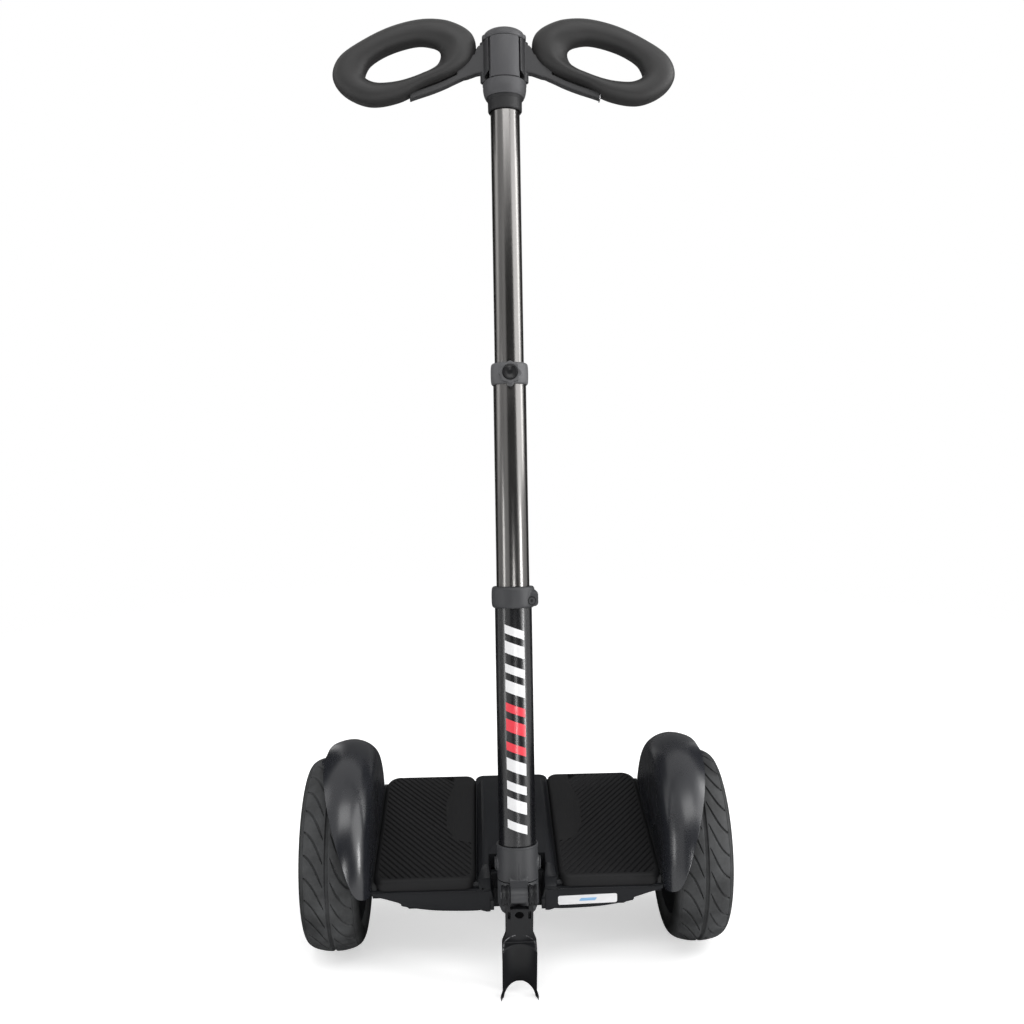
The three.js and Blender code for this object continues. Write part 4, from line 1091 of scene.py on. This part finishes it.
class TRANSPORTER_OT_foot(bpy.types.Operator):
    """Make the stem socket and the hinged collar at the foot of the column"""
    bl_idname = "transporter.foot"
    bl_label = "Column foot"

    def collar(self, sizes, stand):
        radius, low, high = sizes.base_collar, -0.014, 0.029
        bore = sizes.lower + GAP
        band = lathe(fillet([(bore, low), (radius, low), (radius, high - 0.0024),
                             (radius + 0.0005, high - 0.0018), (radius + 0.0003, high), (bore, high)],
                            0.0005, 3), 96)
        seat = Matrix.Translation((0, 0, 0.004))
        ears = [rod(0.009, radius - 0.004, radius + 0.0012, 0.0009, 48, seat @ side)
                for side in (TO_X, MIRROR_X @ TO_X)]
        y, z = stand.forward, stand.height
        barrel = rod(stand.barrel, -stand.barrel_half, stand.barrel_half, 0.0008, 64,
                     Matrix.Translation((0, -y, z)) @ TO_X)
        lug = slab([(-0.023, -0.0065), (-0.023, -0.014), (-0.026, -0.014), (-0.03125, -0.02875),
                    (-0.0455, -0.024), (-0.0436, -0.0183), (-0.036, -0.0145), (-radius, -0.0104)],
                   -stand.barrel_half, stand.barrel_half, 0.0006, ALONG_X)
        well = rod(bore, -0.06, 0.05)
        seam = block(-0.0004, 0.0004, -radius - 0.004, -radius + 0.0007, -0.012, 0.010)
        hole = rod(0.0043, -0.02, 0.02, 0, 32, Matrix.Translation((0, -y, z)) @ TO_X)
        return cut(join(band, *ears, barrel, lug), well, seam, hole)

    def execute(self, context):
        sizes = context.scene.transporter_column
        stand = context.scene.transporter_stand
        finish = cast_plastic(context.scene.transporter_colours)
        place = column_place(context)
        collar = cast(self.collar(sizes, stand), 0.00055, 3)
        show(put(collar, place), "stand_collar", "casting", finish, 60)
        show(soften(copy_of("stem_socket"), 0.0008), "stem_socket", "casting", finish)
        face = sizes.base_collar + 0.0015
        key = slab(hexagon(0.0028), face + 0.0006, face + 0.004)
        bolt = cut(rod(0.0078, face, face + 0.0015, 0.0006, 48), key)
        for node, side in both("collar_bolt", place @ Matrix.Translation((0, 0, 0.004)) @ TO_X):
            show(put(linked(bolt.data.copy()), side), node, "head", finish)
        discard(bolt)
        return {"FINISHED"}


class TRANSPORTER_OT_stand(bpy.types.Operator):
    """Make the fold-down leg, a curved channel with ringed cheeks and a pronged foot"""
    bl_idname = "transporter.stand"
    bl_label = "Stand"

    def leg(self, s):
        face = s.forward - s.channel
        front = face - 0.007
        back = face - 0.0006
        near = s.barrel_half + GAP
        far = near + s.disc_width
        ring = 0.0014
        cheeks = []
        for side in (Matrix.Identity(4), MIRROR_X):
            cheeks.append(rod(s.disc, near, far, 0.0006, 64, side @ TO_X))
            cheeks.append(rod(s.disc + ring, near + 0.0004, near + 2.4 * ring, 0.0009, 64, side @ TO_X))
            cheeks.append(rod(s.disc + ring, far - 2.4 * ring, far, 0.0009, 64, side @ TO_X))
            cheeks.append(put(block(near, s.neck_half, front, back, 0.0, 0.033, 0.0006), side))
        start, end = s.neck - s.shoulder / 2, s.neck + s.shoulder / 2
        neck = slab(fillet([
            (-s.neck_half, 0.0145), (s.neck_half, 0.0145), (s.neck_half, start), (s.body_half, end),
            (s.body_half, end + 0.02), (-s.body_half, end + 0.02), (-s.body_half, end),
            (-s.neck_half, start)], 0.009), front, back, 0.0008, ALONG_Y)
        ridge = slab(fillet(rectangle(-s.body_half, s.body_half, end - 0.001, end + 0.02), 0.002),
                     front + 0.003, face + s.body_half / 2, 0.001, ALONG_Y)
        trunk = Matrix.Translation((0, s.forward, 0))
        channel = common(rod(s.channel, end, s.reach, 0, 96, trunk),
                         block(-s.body_half, s.body_half, 0, s.forward, 0, s.reach))
        low = s.reach - s.flare
        flare = slab(fillet([
            (-s.body_half, low), (s.body_half, low), (s.foot_half, low + s.flare / 2), (s.foot_half, s.reach),
            (-s.foot_half, s.reach), (-s.foot_half, low + s.flare / 2)], 0.004), 0, s.forward, 0, ALONG_Y)
        foot = common(rod(s.channel + 0.0012, low - 0.002, s.reach, 0, 96, trunk), flare)
        room = rod(s.channel - s.wall, 0, s.reach + 0.01, 0, 96, trunk)
        hole = rod(0.0055, back - 0.0014, back + 0.005, 0, 48, Matrix.Translation((0, 0, s.hole)) @ TO_Y)
        slots = [block(x - 0.0015, x + 0.0015, back - 0.004, back + 0.002, s.hole - 0.006, s.hole + 0.006)
                 for x in (-0.0125, 0.0125)]
        pin = rod(0.0043, -far - 0.005, far + 0.005, 0, 32, TO_X)
        return cut(join(cheeks[0], *cheeks[1:], neck, ridge, channel, foot), room, hole, *slots, pin)

    def execute(self, context):
        s = context.scene.transporter_stand
        place = column_place(context) @ Matrix.Translation((0, -s.forward, s.height))
        place = place @ Matrix.Rotation(s.swing, 4, "X")
        shape = put(self.leg(s), place)
        ground = block(-1, 1, -1, 1, -1, 0.0002)
        flatter = Matrix.Diagonal((1, 1, s.arch_rise / s.arch_half, 1))
        arch = rod(s.arch_half, -0.4, 0.4, 0, 96, flatter @ TO_Y)
        cut(shape, ground, arch)
        cast(shape, 0.0006, 4)
        # The arc of the ridge, where the pale scuffs and the painted highlight lie.
        arc = place @ Vector((0, 0, s.neck + s.shoulder / 2 + s.body_half * 0.53))
        finish = leg_plastic(context.scene.transporter_colours, (arc.z, s.body_half))
        show(shape, "stand_leg", "casting", finish, 60)
        # A near-black disc at the bottom of the neck's hole, painted shade in the hole.
        face = s.forward - s.channel
        deep = rod(0.0053, face - 0.0026, face - 0.0014, 0, 32,
                   place @ Matrix.Translation((0, 0, s.hole)) @ TO_Y)
        add_to(deep, "stand_leg_hole_shade", painted_hole_shade(), "stand_leg")
        return {"FINISHED"}


class TRANSPORTER_OT_tubes(bpy.types.Operator):
    """Make the three telescopic tubes"""
    bl_idname = "transporter.tubes"
    bl_label = "Tubes"

    def pipe(self, radius, wall, foot, top):
        return lathe(fillet(rectangle(radius - wall, radius, foot, top), 0.0005, 3), 128)

    def execute(self, context):
        sizes = context.scene.transporter_column
        colours = context.scene.transporter_colours
        black = polished_tube("black_lacquer", tuple(colours.lower_tube), 0.26, 0.0, 0.1)
        metal = polished_tube("dark_chrome", tuple(colours.tube), 0.22, 1.0, 0.0)
        place = column_place(context)
        for node, radius, wall, foot, top, finish in (
                ("tube_lower", sizes.lower, 0.0022, -0.042, sizes.lower_top, black),
                ("tube_middle", sizes.middle, 0.0019, sizes.middle_foot, sizes.middle_top, metal),
                ("tube_upper", sizes.upper, 0.0018, sizes.upper_foot, sizes.upper_top, metal)):
            show(put(self.pipe(radius, wall, foot, top), place), node, "pipe", finish)
        return {"FINISHED"}


class TRANSPORTER_OT_collars(bpy.types.Operator):
    """Make the two collars of the telescopic column, the clamp screw and the release button"""
    bl_idname = "transporter.collars"
    bl_label = "Collars"

    def band(self, widest, foot, top):
        radius, bulge = widest - 0.0006, 0.0006
        line = spline([(radius - 0.0016, foot), (radius + bulge * 0.2, foot + 0.003),
                       (widest, (foot + top) / 2), (radius + bulge * 0.2, top - 0.003),
                       (radius - 0.0016, top)], 6)
        return lathe([(0, foot), *line, (0, top)], 96)

    def low_collar(self, sizes):
        foot = sizes.low_collar_foot
        top = foot + 0.026
        radius = sizes.low_collar
        band = self.band(radius, foot, top)
        lug = block(radius * 0.5, radius + 0.0034, -radius * 0.66, radius * 0.35, foot + 0.0016,
                    foot + 0.0215, 0.005)
        held = rod(sizes.lower + GAP, foot - 0.006, sizes.lower_top + GAP)
        guided = rod(sizes.middle + GAP, foot, top + 0.006)
        seat = rod(0.0046, -radius, -radius * 0.66 + 0.0025, 0, 32,
                   Matrix.Translation((radius * 0.82, 0, foot + 0.009)) @ TO_Y)
        split = block(radius * 0.5, radius * 2, -0.0008, 0.0008, foot - 0.006, top + 0.006)
        return cut(join(band, lug), held, guided, seat, split)

    def mid_collar(self, sizes):
        foot = sizes.mid_collar_foot
        top = foot + 0.027
        radius = sizes.mid_collar
        band = self.band(radius, foot, top)
        middle = Matrix.Translation((0, 0, (foot + top) / 2))
        lobes = []
        for k in range(96):
            angle = 2 * math.pi * k / 96
            reach = 0.0132 + 0.0009 * math.cos(8 * angle)
            lobes.append((reach * math.cos(angle), reach * math.sin(angle)))
        boss = slab(lobes, 0, radius + 0.005, 0.0012, middle @ Matrix.Rotation(math.radians(90), 4, "X"))
        bump = rod(0.0042, -radius - 0.0025, 0, 0.0012, 32, Matrix.Translation((0, 0, foot + 0.0003)) @ TO_Y)
        held = rod(sizes.middle + GAP, foot - 0.006, sizes.middle_top + GAP)
        guided = rod(sizes.upper + GAP, foot, top + 0.006)
        well = rod(sizes.button + 0.0004, -radius - 0.011, -radius + 0.0026, 0, 64, middle @ TO_Y)
        return cut(join(band, boss, bump), held, guided, well)

    def button(self, sizes):
        face = sizes.mid_collar + 0.0070
        back = sizes.mid_collar + 0.0019
        r = sizes.button
        line = spline([(r - 0.0008, face - 0.0002), (r * 0.7, face - 0.0006), (r * 0.35, face - 0.0016),
                       (0.0, face - 0.0019)], 5)
        profile = [(0, back), (r, back), (r, face - 0.0012), (r - 0.0003, face - 0.0004), *line]
        return lathe(profile, 64)

    def execute(self, context):
        sizes = context.scene.transporter_column
        colours = context.scene.transporter_colours
        place = column_place(context)
        low = cast(self.low_collar(sizes), 0.0005, 3)
        show(put(low, place), "collar_lower", "moulding", cast_plastic(colours), 60)
        mid = cast(self.mid_collar(sizes), 0.00045, 3)
        show(put(mid, place), "collar_middle", "moulding", collar_plastic(colours), 60)
        height = sizes.mid_collar_foot + 0.0135
        face = Matrix.Translation((0, 0, height)) @ Matrix.Rotation(math.radians(90), 4, "X")
        show(put(self.button(sizes), place @ face), "release_button", "face", gloss_plastic(colours))
        radius = sizes.low_collar
        lug = -radius * 0.7
        screw = cut(rod(0.0042, lug - 0.00125, lug + 0.0022, 0.0005, 40),
                    slab(hexagon(0.0021), lug - 0.003, lug + 0.0008))
        seat = Matrix.Translation((radius * 0.82, 0, sizes.low_collar_foot + 0.009)) @ TO_Y
        show(put(screw, place @ seat), "clamp_screw", "head", cast_plastic(colours))
        return {"FINISHED"}


class TRANSPORTER_OT_head(bpy.types.Operator):
    """Make the sleeve, the head with its front panel and the domed cap"""
    bl_idname = "transporter.head"
    bl_label = "Head"

    def sleeve(self, sizes, column):
        bore = column.upper + GAP
        return lathe(fillet([(bore, 0.938), (0.0203, 0.938), (0.0212, 0.9395), (0.0214, 0.9515),
                             (0.0232, 0.9545), (0.0232, 0.955), (bore, 0.955)], 0.0008, 3), 96)

    def body(self, sizes, column):
        low, top = 0.9553, sizes.skirt_top
        radius = sizes.head
        line = spline([(radius - 0.003, low), (radius - 0.0012, low + 0.004), (radius, low + 0.010),
                       (radius, top - 0.004)], 5)
        skirt = lathe([(0, low), *line, (radius, top - 0.0012), (radius - 0.0012, top), (0, top)], 96)
        core = common(rod(0.024, low, sizes.core_top),
                      block(-0.0186, 0.0186, -radius, radius, low, sizes.core_top, 0.001))
        bore = rod(column.upper + GAP, low - 0.006, column.upper_top + GAP)
        holes = [rod(0.0033, top - 0.005, top + 0.006, 0, 32, Matrix.Translation((side * sizes.hinge, 0, 0)))
                 for side in (1, -1)]
        return cut(join(skirt, core), bore, *holes)

    def cover(self, sizes):
        low, top = sizes.skirt_top + GAP, sizes.core_top
        radius, half = sizes.head, 0.0174
        band = lathe(fillet(rectangle(0.0243, radius, low, top), 0.0012, 3), 128)
        panel = slab(fillet(rectangle(-half, half, low, top), 0.0022, 4),
                     -radius * 2, -radius / 2, 0, ALONG_Y)
        return common(band, panel)

    def cap(self, sizes):
        low = sizes.core_top + GAP
        dome = spline([(0.0260, low + 0.0055), (0.0250, low + 0.0082), (0.0221, low + 0.0105),
                       (0.0175, low + 0.0122), (0.009, low + 0.0138), (0.0, low + 0.0140)], 6)
        crown = lathe([(0, low), (0.0260, low), (0.0262, low + 0.003), *dome], 96)
        half = sizes.hinge + 0.0030
        wings = slab(fillet(rectangle(-half, half, -0.0114, 0.0114), 0.0057, 5), low, low + 0.006, 0.0012)
        return join(crown, wings)

    def execute(self, context):
        sizes = context.scene.transporter_grip
        column = context.scene.transporter_column
        colours = context.scene.transporter_colours
        place = column_place(context)
        finish = head_plastic(colours)
        show(put(self.sleeve(sizes, column), place), "head_sleeve", "ring", sleeve_plastic(colours))
        show(put(soften(self.body(sizes, column), 0.0005, 40), place), "head_body", "moulding", finish)
        show(put(soften(self.cover(sizes), 0.0005, 40), place), "head_cover", "panel", finish)
        show(put(cast(self.cap(sizes), 0.0006, 3), place), "head_cap", "dome", finish, 60)
        return {"FINISHED"}


# Grips

class TRANSPORTER_OT_arms(bpy.types.Operator):
    """Make the arms that sweep out under the rings"""
    bl_idname = "transporter.arms"
    bl_label = "Grip arms"

    def arm(self, sizes):
        low, high = sizes.skirt_top + GAP, sizes.core_top - GAP
        barrel = rod(0.0057, low, high, 0.0008, 48, Matrix.Translation((sizes.hinge, 0, 0)))
        shares = [(-1.03, -0.06), (-0.84, -0.16), (-0.69, -0.23), (-0.54, -0.3), (-0.36, -0.37),
                  (-0.16, -0.435), (-0.07, -0.468)]
        line = spline([(sizes.ring_x + across * sizes.reach, sizes.ring_z + up * sizes.reach)
                       for across, up in shares], 6)
        rise, half = sizes.bar / 2, sizes.bar_half
        bar = slab([(x, z - rise) for x, z in line] + [(x, z + rise) for x, z in reversed(line)],
                   -half, half, 0.0012, ALONG_Y)
        root = slab(fillet([
            (0.0255, 1.0215), (0.0318, 1.0215), (0.0352, 1.0160), (0.0375, 1.0090), (0.0430, 1.0040),
            (0.0600, 0.9890), (0.0580, 0.9790), (0.0460, 0.9815), (0.0350, 0.9855), (0.0255, 0.9870)],
            0.005, 4), -half, half, 0.0012, ALONG_Y)
        spur = block(0.032, sizes.ring_x - 0.7 * sizes.reach, -half, half, 1.0015, 1.0095, 0.001)
        strip = slab([(0.0196, low + 0.010), (0.0290, low + 0.001), (0.0290, high), (0.0196, high)],
                     -0.02, -0.001, 0, ALONG_Y)
        cheek = common(rod(sizes.cheek, low, high), strip)
        hole = rod(0.0033, low - 0.006, high + 0.006, 0, 32, Matrix.Translation((sizes.hinge, 0, 0)))
        return cut(join(barrel, bar, root, spur, cheek), hole)

    def execute(self, context):
        sizes = context.scene.transporter_grip
        colours = context.scene.transporter_colours
        for node, place in both("grip_arm", column_place(context)):
            show(put(cast(self.arm(sizes), 0.0006, 3), place), node, "bar", arm_plastic(colours), 60)
        end = slab([(0.1176, 0.9528), (0.1190, 0.9523), (0.1208, 0.9608), (0.1194, 0.9613)], -0.0050, 0.0050,
                   0.0003, ALONG_Y)
        add_to(put(end, column_place(context)), "grip_arm_end_plate", bare_steel(colours), "grip_arm_right")
        return {"FINISHED"}


class TRANSPORTER_OT_foam(bpy.types.Operator):
    """Make the soft ring of each grip"""
    bl_idname = "transporter.foam"
    bl_label = "Foam rings"

    def ring(self, s):
        """Foam between the outside of the ring and its hole, both given as shares of the reach."""
        outside = loop([(0.99, -0.2), (0.9, 0.07), (0.58, 0.3), (0.16, 0.5), (-0.29, 0.6), (-0.69, 0.56),
                        (-0.95, 0.4), (-0.98, 0.11), (-0.76, -0.12), (-0.29, -0.33), (0.09, -0.52),
                        (0.49, -0.58), (0.83, -0.44)], 15)
        hole = loop([(0.54, -0.16), (0.46, -0.01), (0.27, 0.12), (0.04, 0.21), (-0.2, 0.26), (-0.39, 0.23),
                     (-0.5, 0.14), (-0.46, -0.01), (-0.3, -0.13), (-0.09, -0.22), (0.14, -0.27),
                     (0.37, -0.28), (0.51, -0.23)], 15)
        steps, sides = len(outside), 56
        centre = Vector((s.ring_x, s.ring_z))
        points, faces = [], []
        for outer, inner in zip(outside, hole):
            middle = (Vector(outer) + Vector(inner)) / 2 * s.reach + centre
            across = (Vector(outer) - Vector(inner)) / 2 * s.reach
            power = 0.82 + 0.4 * min(max((-0.6 - outer[0]) / 0.36, 0), 1)
            for k in range(sides):
                angle = 2 * math.pi * k / sides
                flat, deep = [math.copysign(abs(part) ** power, part)
                              for part in (math.cos(angle), math.sin(angle))]
                spot = middle + across * flat
                points.append((spot.x, s.half * deep, spot.y))
        for i in range(steps):
            n = (i + 1) % steps
            for k in range(sides):
                j = (k + 1) % sides
                faces.append((i * sides + k, n * sides + k, n * sides + j, i * sides + j))
        return new_shape(points, faces)

    def execute(self, context):
        sizes = context.scene.transporter_grip
        finish = grip_foam(context.scene.transporter_colours)
        for node, place in both("grip_foam", column_place(context)):
            piece = show(put(self.ring(sizes), place), node, "ring", finish, 80)
        return {"FINISHED"}


# Printed marks

class TRANSPORTER_OT_marks(bpy.types.Operator):
    """Make the plain slanted bars on the lower tube and the plain label on the deck"""
    bl_idname = "transporter.marks"
    bl_label = "Plain marks"

    def patch(self, radius, corners, thick=0.00012):
        """A film of four corners, given across and along, wrapped on the front of the tube."""
        a, b, c, d = [Vector(corner) for corner in corners]
        points, faces = [], []
        nu, nv = 12, 6
        for out in (radius + thick, radius):
            for j in range(nv + 1):
                for i in range(nu + 1):
                    u, v = i / nu, j / nv
                    spot = (a * (1 - u) + b * u) * (1 - v) + (d * (1 - u) + c * u) * v
                    angle = spot.x / radius
                    points.append((out * math.sin(angle), -out * math.cos(angle), spot.y))
        row, page = nu + 1, (nu + 1) * (nv + 1)
        for j in range(nv):
            for i in range(nu):
                k = j * row + i
                faces.append((k, k + 1, k + row + 1, k + row))
                faces.append((page + k, page + k + row, page + k + row + 1, page + k + 1))
        rim = [i for i in range(nu)] + [nu + j * row for j in range(nv)]
        rim += [nv * row + nu - i for i in range(nu)] + [(nv - j) * row for j in range(nv)]
        for k, edge in enumerate(rim):
            after = rim[(k + 1) % len(rim)]
            faces.append((edge, page + edge, page + after, after))
        return new_shape(points, faces)

    def bars(self, context, colours):
        column = context.scene.transporter_column
        white = plain_mark("white_film", tuple(colours.white))
        red = plain_mark("red_film", tuple(colours.red))
        low, high = 0.044, 0.306
        count = 11
        pitch = (high - low) / count
        half, slant = 0.0125, 0.009
        for i in range(count):
            z0 = low + i * pitch
            z1 = z0 + pitch * (0.62 if i % 2 else 0.44)
            finish = red if 4 <= i <= 6 else white
            tube = [(-half, z0 + slant), (half, z0), (half, z1), (-half, z1 + slant)]
            film = put(self.patch(column.lower, tube), column_place(context))
            add_to(film, f"tube_bar_{i + 1}", finish, "tube_lower")

    def label(self, context, colours):
        deck = context.scene.transporter_deck
        white = plain_mark("label_film", tuple(colours.white))
        blue = plain_mark("label_stripe", tuple(colours.blue))
        y = deck.front - 0.005 - 0.00014
        tilt = Matrix.Rotation(math.radians(-1.5), 4, "Y")
        place = deck_place(context) @ Matrix.Translation((0.088, 0, -0.003)) @ tilt
        x0, x1, z0, z1 = -0.0373, 0.0373, -0.0066, 0.0066
        card = slab(fillet(rectangle(x0, x1, z0, z1), 0.003, 5), y, y + 0.0002, 0, ALONG_Y)
        add_to(put(card, place), "deck_label", white, "front_bumper_right")
        stripe = slab(fillet([(x0 + 0.026, z0 + 0.0045), (x1 - 0.028, z0 + 0.0045), (x1 - 0.025, z1 - 0.0045),
                              (x0 + 0.029, z1 - 0.0045)], 0.001, 3), y - 0.00012, y + 0.0001, 0, ALONG_Y)
        add_to(put(stripe, place), "deck_label_stripe", blue, "front_bumper_right")

    def execute(self, context):
        colours = context.scene.transporter_colours
        self.bars(context, colours)
        self.label(context, colours)
        return {"FINISHED"}


# Stage

class TRANSPORTER_OT_stage(bpy.types.Operator):
    """Make the floor, the lamps, the room's light and the camera"""
    bl_idname = "transporter.stage"
    bl_label = "Stage"

    def floor(self, colours, stage):
        """A pale floor that keeps the object's shadow and fades into the white room."""
        bpy.ops.mesh.primitive_plane_add(size=6, location=(0, 0, -0.0004))
        plane = bpy.context.object
        plane.name = "studio_floor"
        finish = Finish("studio_floor", tuple(colours.floor), 0.9, Specular_IOR_Level=0.1,
                        Emission_Strength=0.5)
        cloud = finish.noise(3, 2)
        finish.rough(finish.range(cloud, 0.3, 0.7, 0.88, 0.94))
        far = finish.add("ShaderNodeVectorMath", {"operation": "LENGTH"}, {0: finish.place()}, "Value")
        finish.feed(finish.shader.inputs["Alpha"], finish.range(far, stage.fade_near, stage.fade_far, 1, 0))
        finish.feed(finish.shader.inputs["Emission Color"], finish.tones(finish.seen(), (0, 0, 0), (1, 1, 1)))
        plane.data.materials.append(finish.material)

    def card(self, name, place, aim, size, tone, glow=0.0):
        """A studio card of that tone, or glowing, which only reflections show."""
        wide, high = size[0] / 2, size[1] / 2
        corners = [(x, y, 0) for x, y in rectangle(-wide, wide, -high, high)]
        card = new_shape(corners, [(0, 1, 2, 3)])
        card.name = name
        card.location = place
        card.rotation_euler = (Vector(aim) - Vector(place)).to_track_quat("Z", "Y").to_euler()
        finish = Finish(name, (tone, tone, tone), 0.9, Specular_IOR_Level=0.0, Emission_Strength=glow)
        cloud = finish.noise(2, 2)
        finish.paint(finish.tones(cloud, (tone * 0.9,) * 3, (tone * 1.1,) * 3))
        card.data.materials.append(finish.material)
        card.visible_camera = False
        card.visible_diffuse = False
        card.visible_shadow = False

    def lamp(self, name, place, aim, size, power):
        data = bpy.data.lights.new(name, "AREA")
        data.shape = "RECTANGLE"
        data.size, data.size_y = size
        data.energy = power
        holder = bpy.data.objects.new(name, data)
        holder.location = place
        holder.rotation_euler = (Vector(aim) - Vector(place)).to_track_quat("-Z", "Y").to_euler()
        bpy.context.collection.objects.link(holder)

    def room(self, stage):
        world = bpy.data.worlds.new("studio_room")
        bpy.context.scene.world = world
        world.use_nodes = True
        world.node_tree.nodes.clear()
        graph = Graph(world.node_tree)
        dim, white = [graph.add("ShaderNodeBackground", {}, {"Color": (1, 1, 1), "Strength": strength})
                      for strength in (stage.shade, 1)]
        mixed = graph.add("ShaderNodeMixShader", {}, {0: graph.seen(), 1: dim, 2: white})
        graph.add("ShaderNodeOutputWorld", {}, {"Surface": mixed})

    def camera(self, stage):
        data = bpy.data.cameras.new("photo_camera")
        data.lens = stage.lens
        data.sensor_width = 36
        data.clip_end = 200
        holder = bpy.data.objects.new("photo_camera", data)
        p, y, r = stage.pitch, stage.yaw, stage.roll
        ahead = Vector((math.sin(y) * math.cos(p), math.cos(y) * math.cos(p), -math.sin(p)))
        right = Vector((math.cos(y), -math.sin(y), 0))
        up = right.cross(ahead)
        across = right * math.cos(r) + up * math.sin(r)
        rise = up * math.cos(r) - right * math.sin(r)
        turned = Matrix((across, rise, -ahead)).transposed()
        holder.matrix_world = Matrix.Translation((stage.eye_x, stage.eye_y, stage.eye_z)) @ turned.to_4x4()
        bpy.context.collection.objects.link(holder)
        bpy.context.scene.camera = holder

    def execute(self, context):
        stage = context.scene.transporter_stage
        self.floor(context.scene.transporter_colours, stage)
        self.lamp("key_panel", (0.2, -1.6, 3.2), (0, 0, 0.4), (2.4, 1.4), 42)
        self.lamp("right_strip", (2.0, 0.15, 1.5), (0, 0, 0.6), (0.55, 1.5), 20)
        self.lamp("left_strip", (-1.75, -0.95, 0.5), (0, 0, 0.3), (0.3, 0.8), 6)
        self.lamp("left_panel", (-2.2, 0.1, 1.5), (0, 0, 0.5), (0.9, 2.0), 9)
        self.lamp("low_strip", (1.75, -1.0, 0.45), (0.2, 0, 0.2), (0.25, 0.7), 16)
        self.card("front_card", (0.5, -2.3, 0.9), (0, 0, 0.7), (3.4, 3.0), 0.08)
        self.card("low_glow", (0.22, -1.95, 0.34), (0, 0, 0.3), (0.34, 0.66), 0.5, 13.0)
        self.card("right_glow", (2.1, -0.9, 1.85), (0, 0, 1.2), (1.9, 2.0), 0.5, 3.6)
        self.card("left_card", (-2.3, -0.6, 0.9), (0, 0, 0.7), (2.6, 3.0), 0.85)
        self.card("left_flag", (-1.7, 1.7, 0.9), (0, 0, 0.7), (1.8, 3.0), 0.04)
        self.card("right_flag", (1.9, 1.7, 0.9), (0, 0, 0.7), (1.6, 3.0), 0.04)
        self.card("back_flag", (0.15, 2.0, 1.0), (0, 0, 0.7), (1.9, 2.4), 0.2)
        self.card("floor_flag", (0, 0.85, 0.003), (0, 0.85, 1), (2.6, 2.0), 0.05)
        self.room(stage)
        self.camera(stage)
        context.scene.view_settings.view_transform = "Standard"
        return {"FINISHED"}


PIECES = (
    TRANSPORTER_OT_stage, TRANSPORTER_OT_tyres, TRANSPORTER_OT_hubs, TRANSPORTER_OT_fenders,
    TRANSPORTER_OT_shells, TRANSPORTER_OT_mats, TRANSPORTER_OT_fittings, TRANSPORTER_OT_inner_parts,
    TRANSPORTER_OT_foot, TRANSPORTER_OT_stand, TRANSPORTER_OT_tubes, TRANSPORTER_OT_collars,
    TRANSPORTER_OT_head, TRANSPORTER_OT_arms, TRANSPORTER_OT_foam, TRANSPORTER_OT_marks,
)


class TRANSPORTER_PT_pieces(bpy.types.Panel):
    bl_idname = "TRANSPORTER_PT_pieces"
    bl_label = "Transporter"
    bl_space_type = "VIEW_3D"
    bl_region_type = "UI"
    bl_category = "Transporter"

    def draw(self, context):
        for piece in PIECES:
            self.layout.operator(piece.bl_idname)


GROUPS = {
    "transporter_wheel": TransporterWheelSizes,
    "transporter_deck": TransporterDeckSizes,
    "transporter_column": TransporterColumnSizes,
    "transporter_stand": TransporterStandSizes,
    "transporter_grip": TransporterGripSizes,
    "transporter_colours": TransporterColours,
    "transporter_stage": TransporterStage,
}


def register():
    for group in GROUPS.values():
        bpy.utils.register_class(group)
    for name, group in GROUPS.items():
        setattr(bpy.types.Scene, name, PointerProperty(type=group))
    for piece in (*PIECES, TRANSPORTER_PT_pieces):
        bpy.utils.register_class(piece)


def unregister():
    for piece in reversed((*PIECES, TRANSPORTER_PT_pieces)):
        bpy.utils.unregister_class(piece)
    for name in GROUPS:
        delattr(bpy.types.Scene, name)
    for group in reversed(tuple(GROUPS.values())):
        bpy.utils.unregister_class(group)


def main():
    register()
    for piece in PIECES:
        category, name = piece.bl_idname.split(".")
        getattr(getattr(bpy.ops, category), name)()


if __name__ == "__main__":
    main()
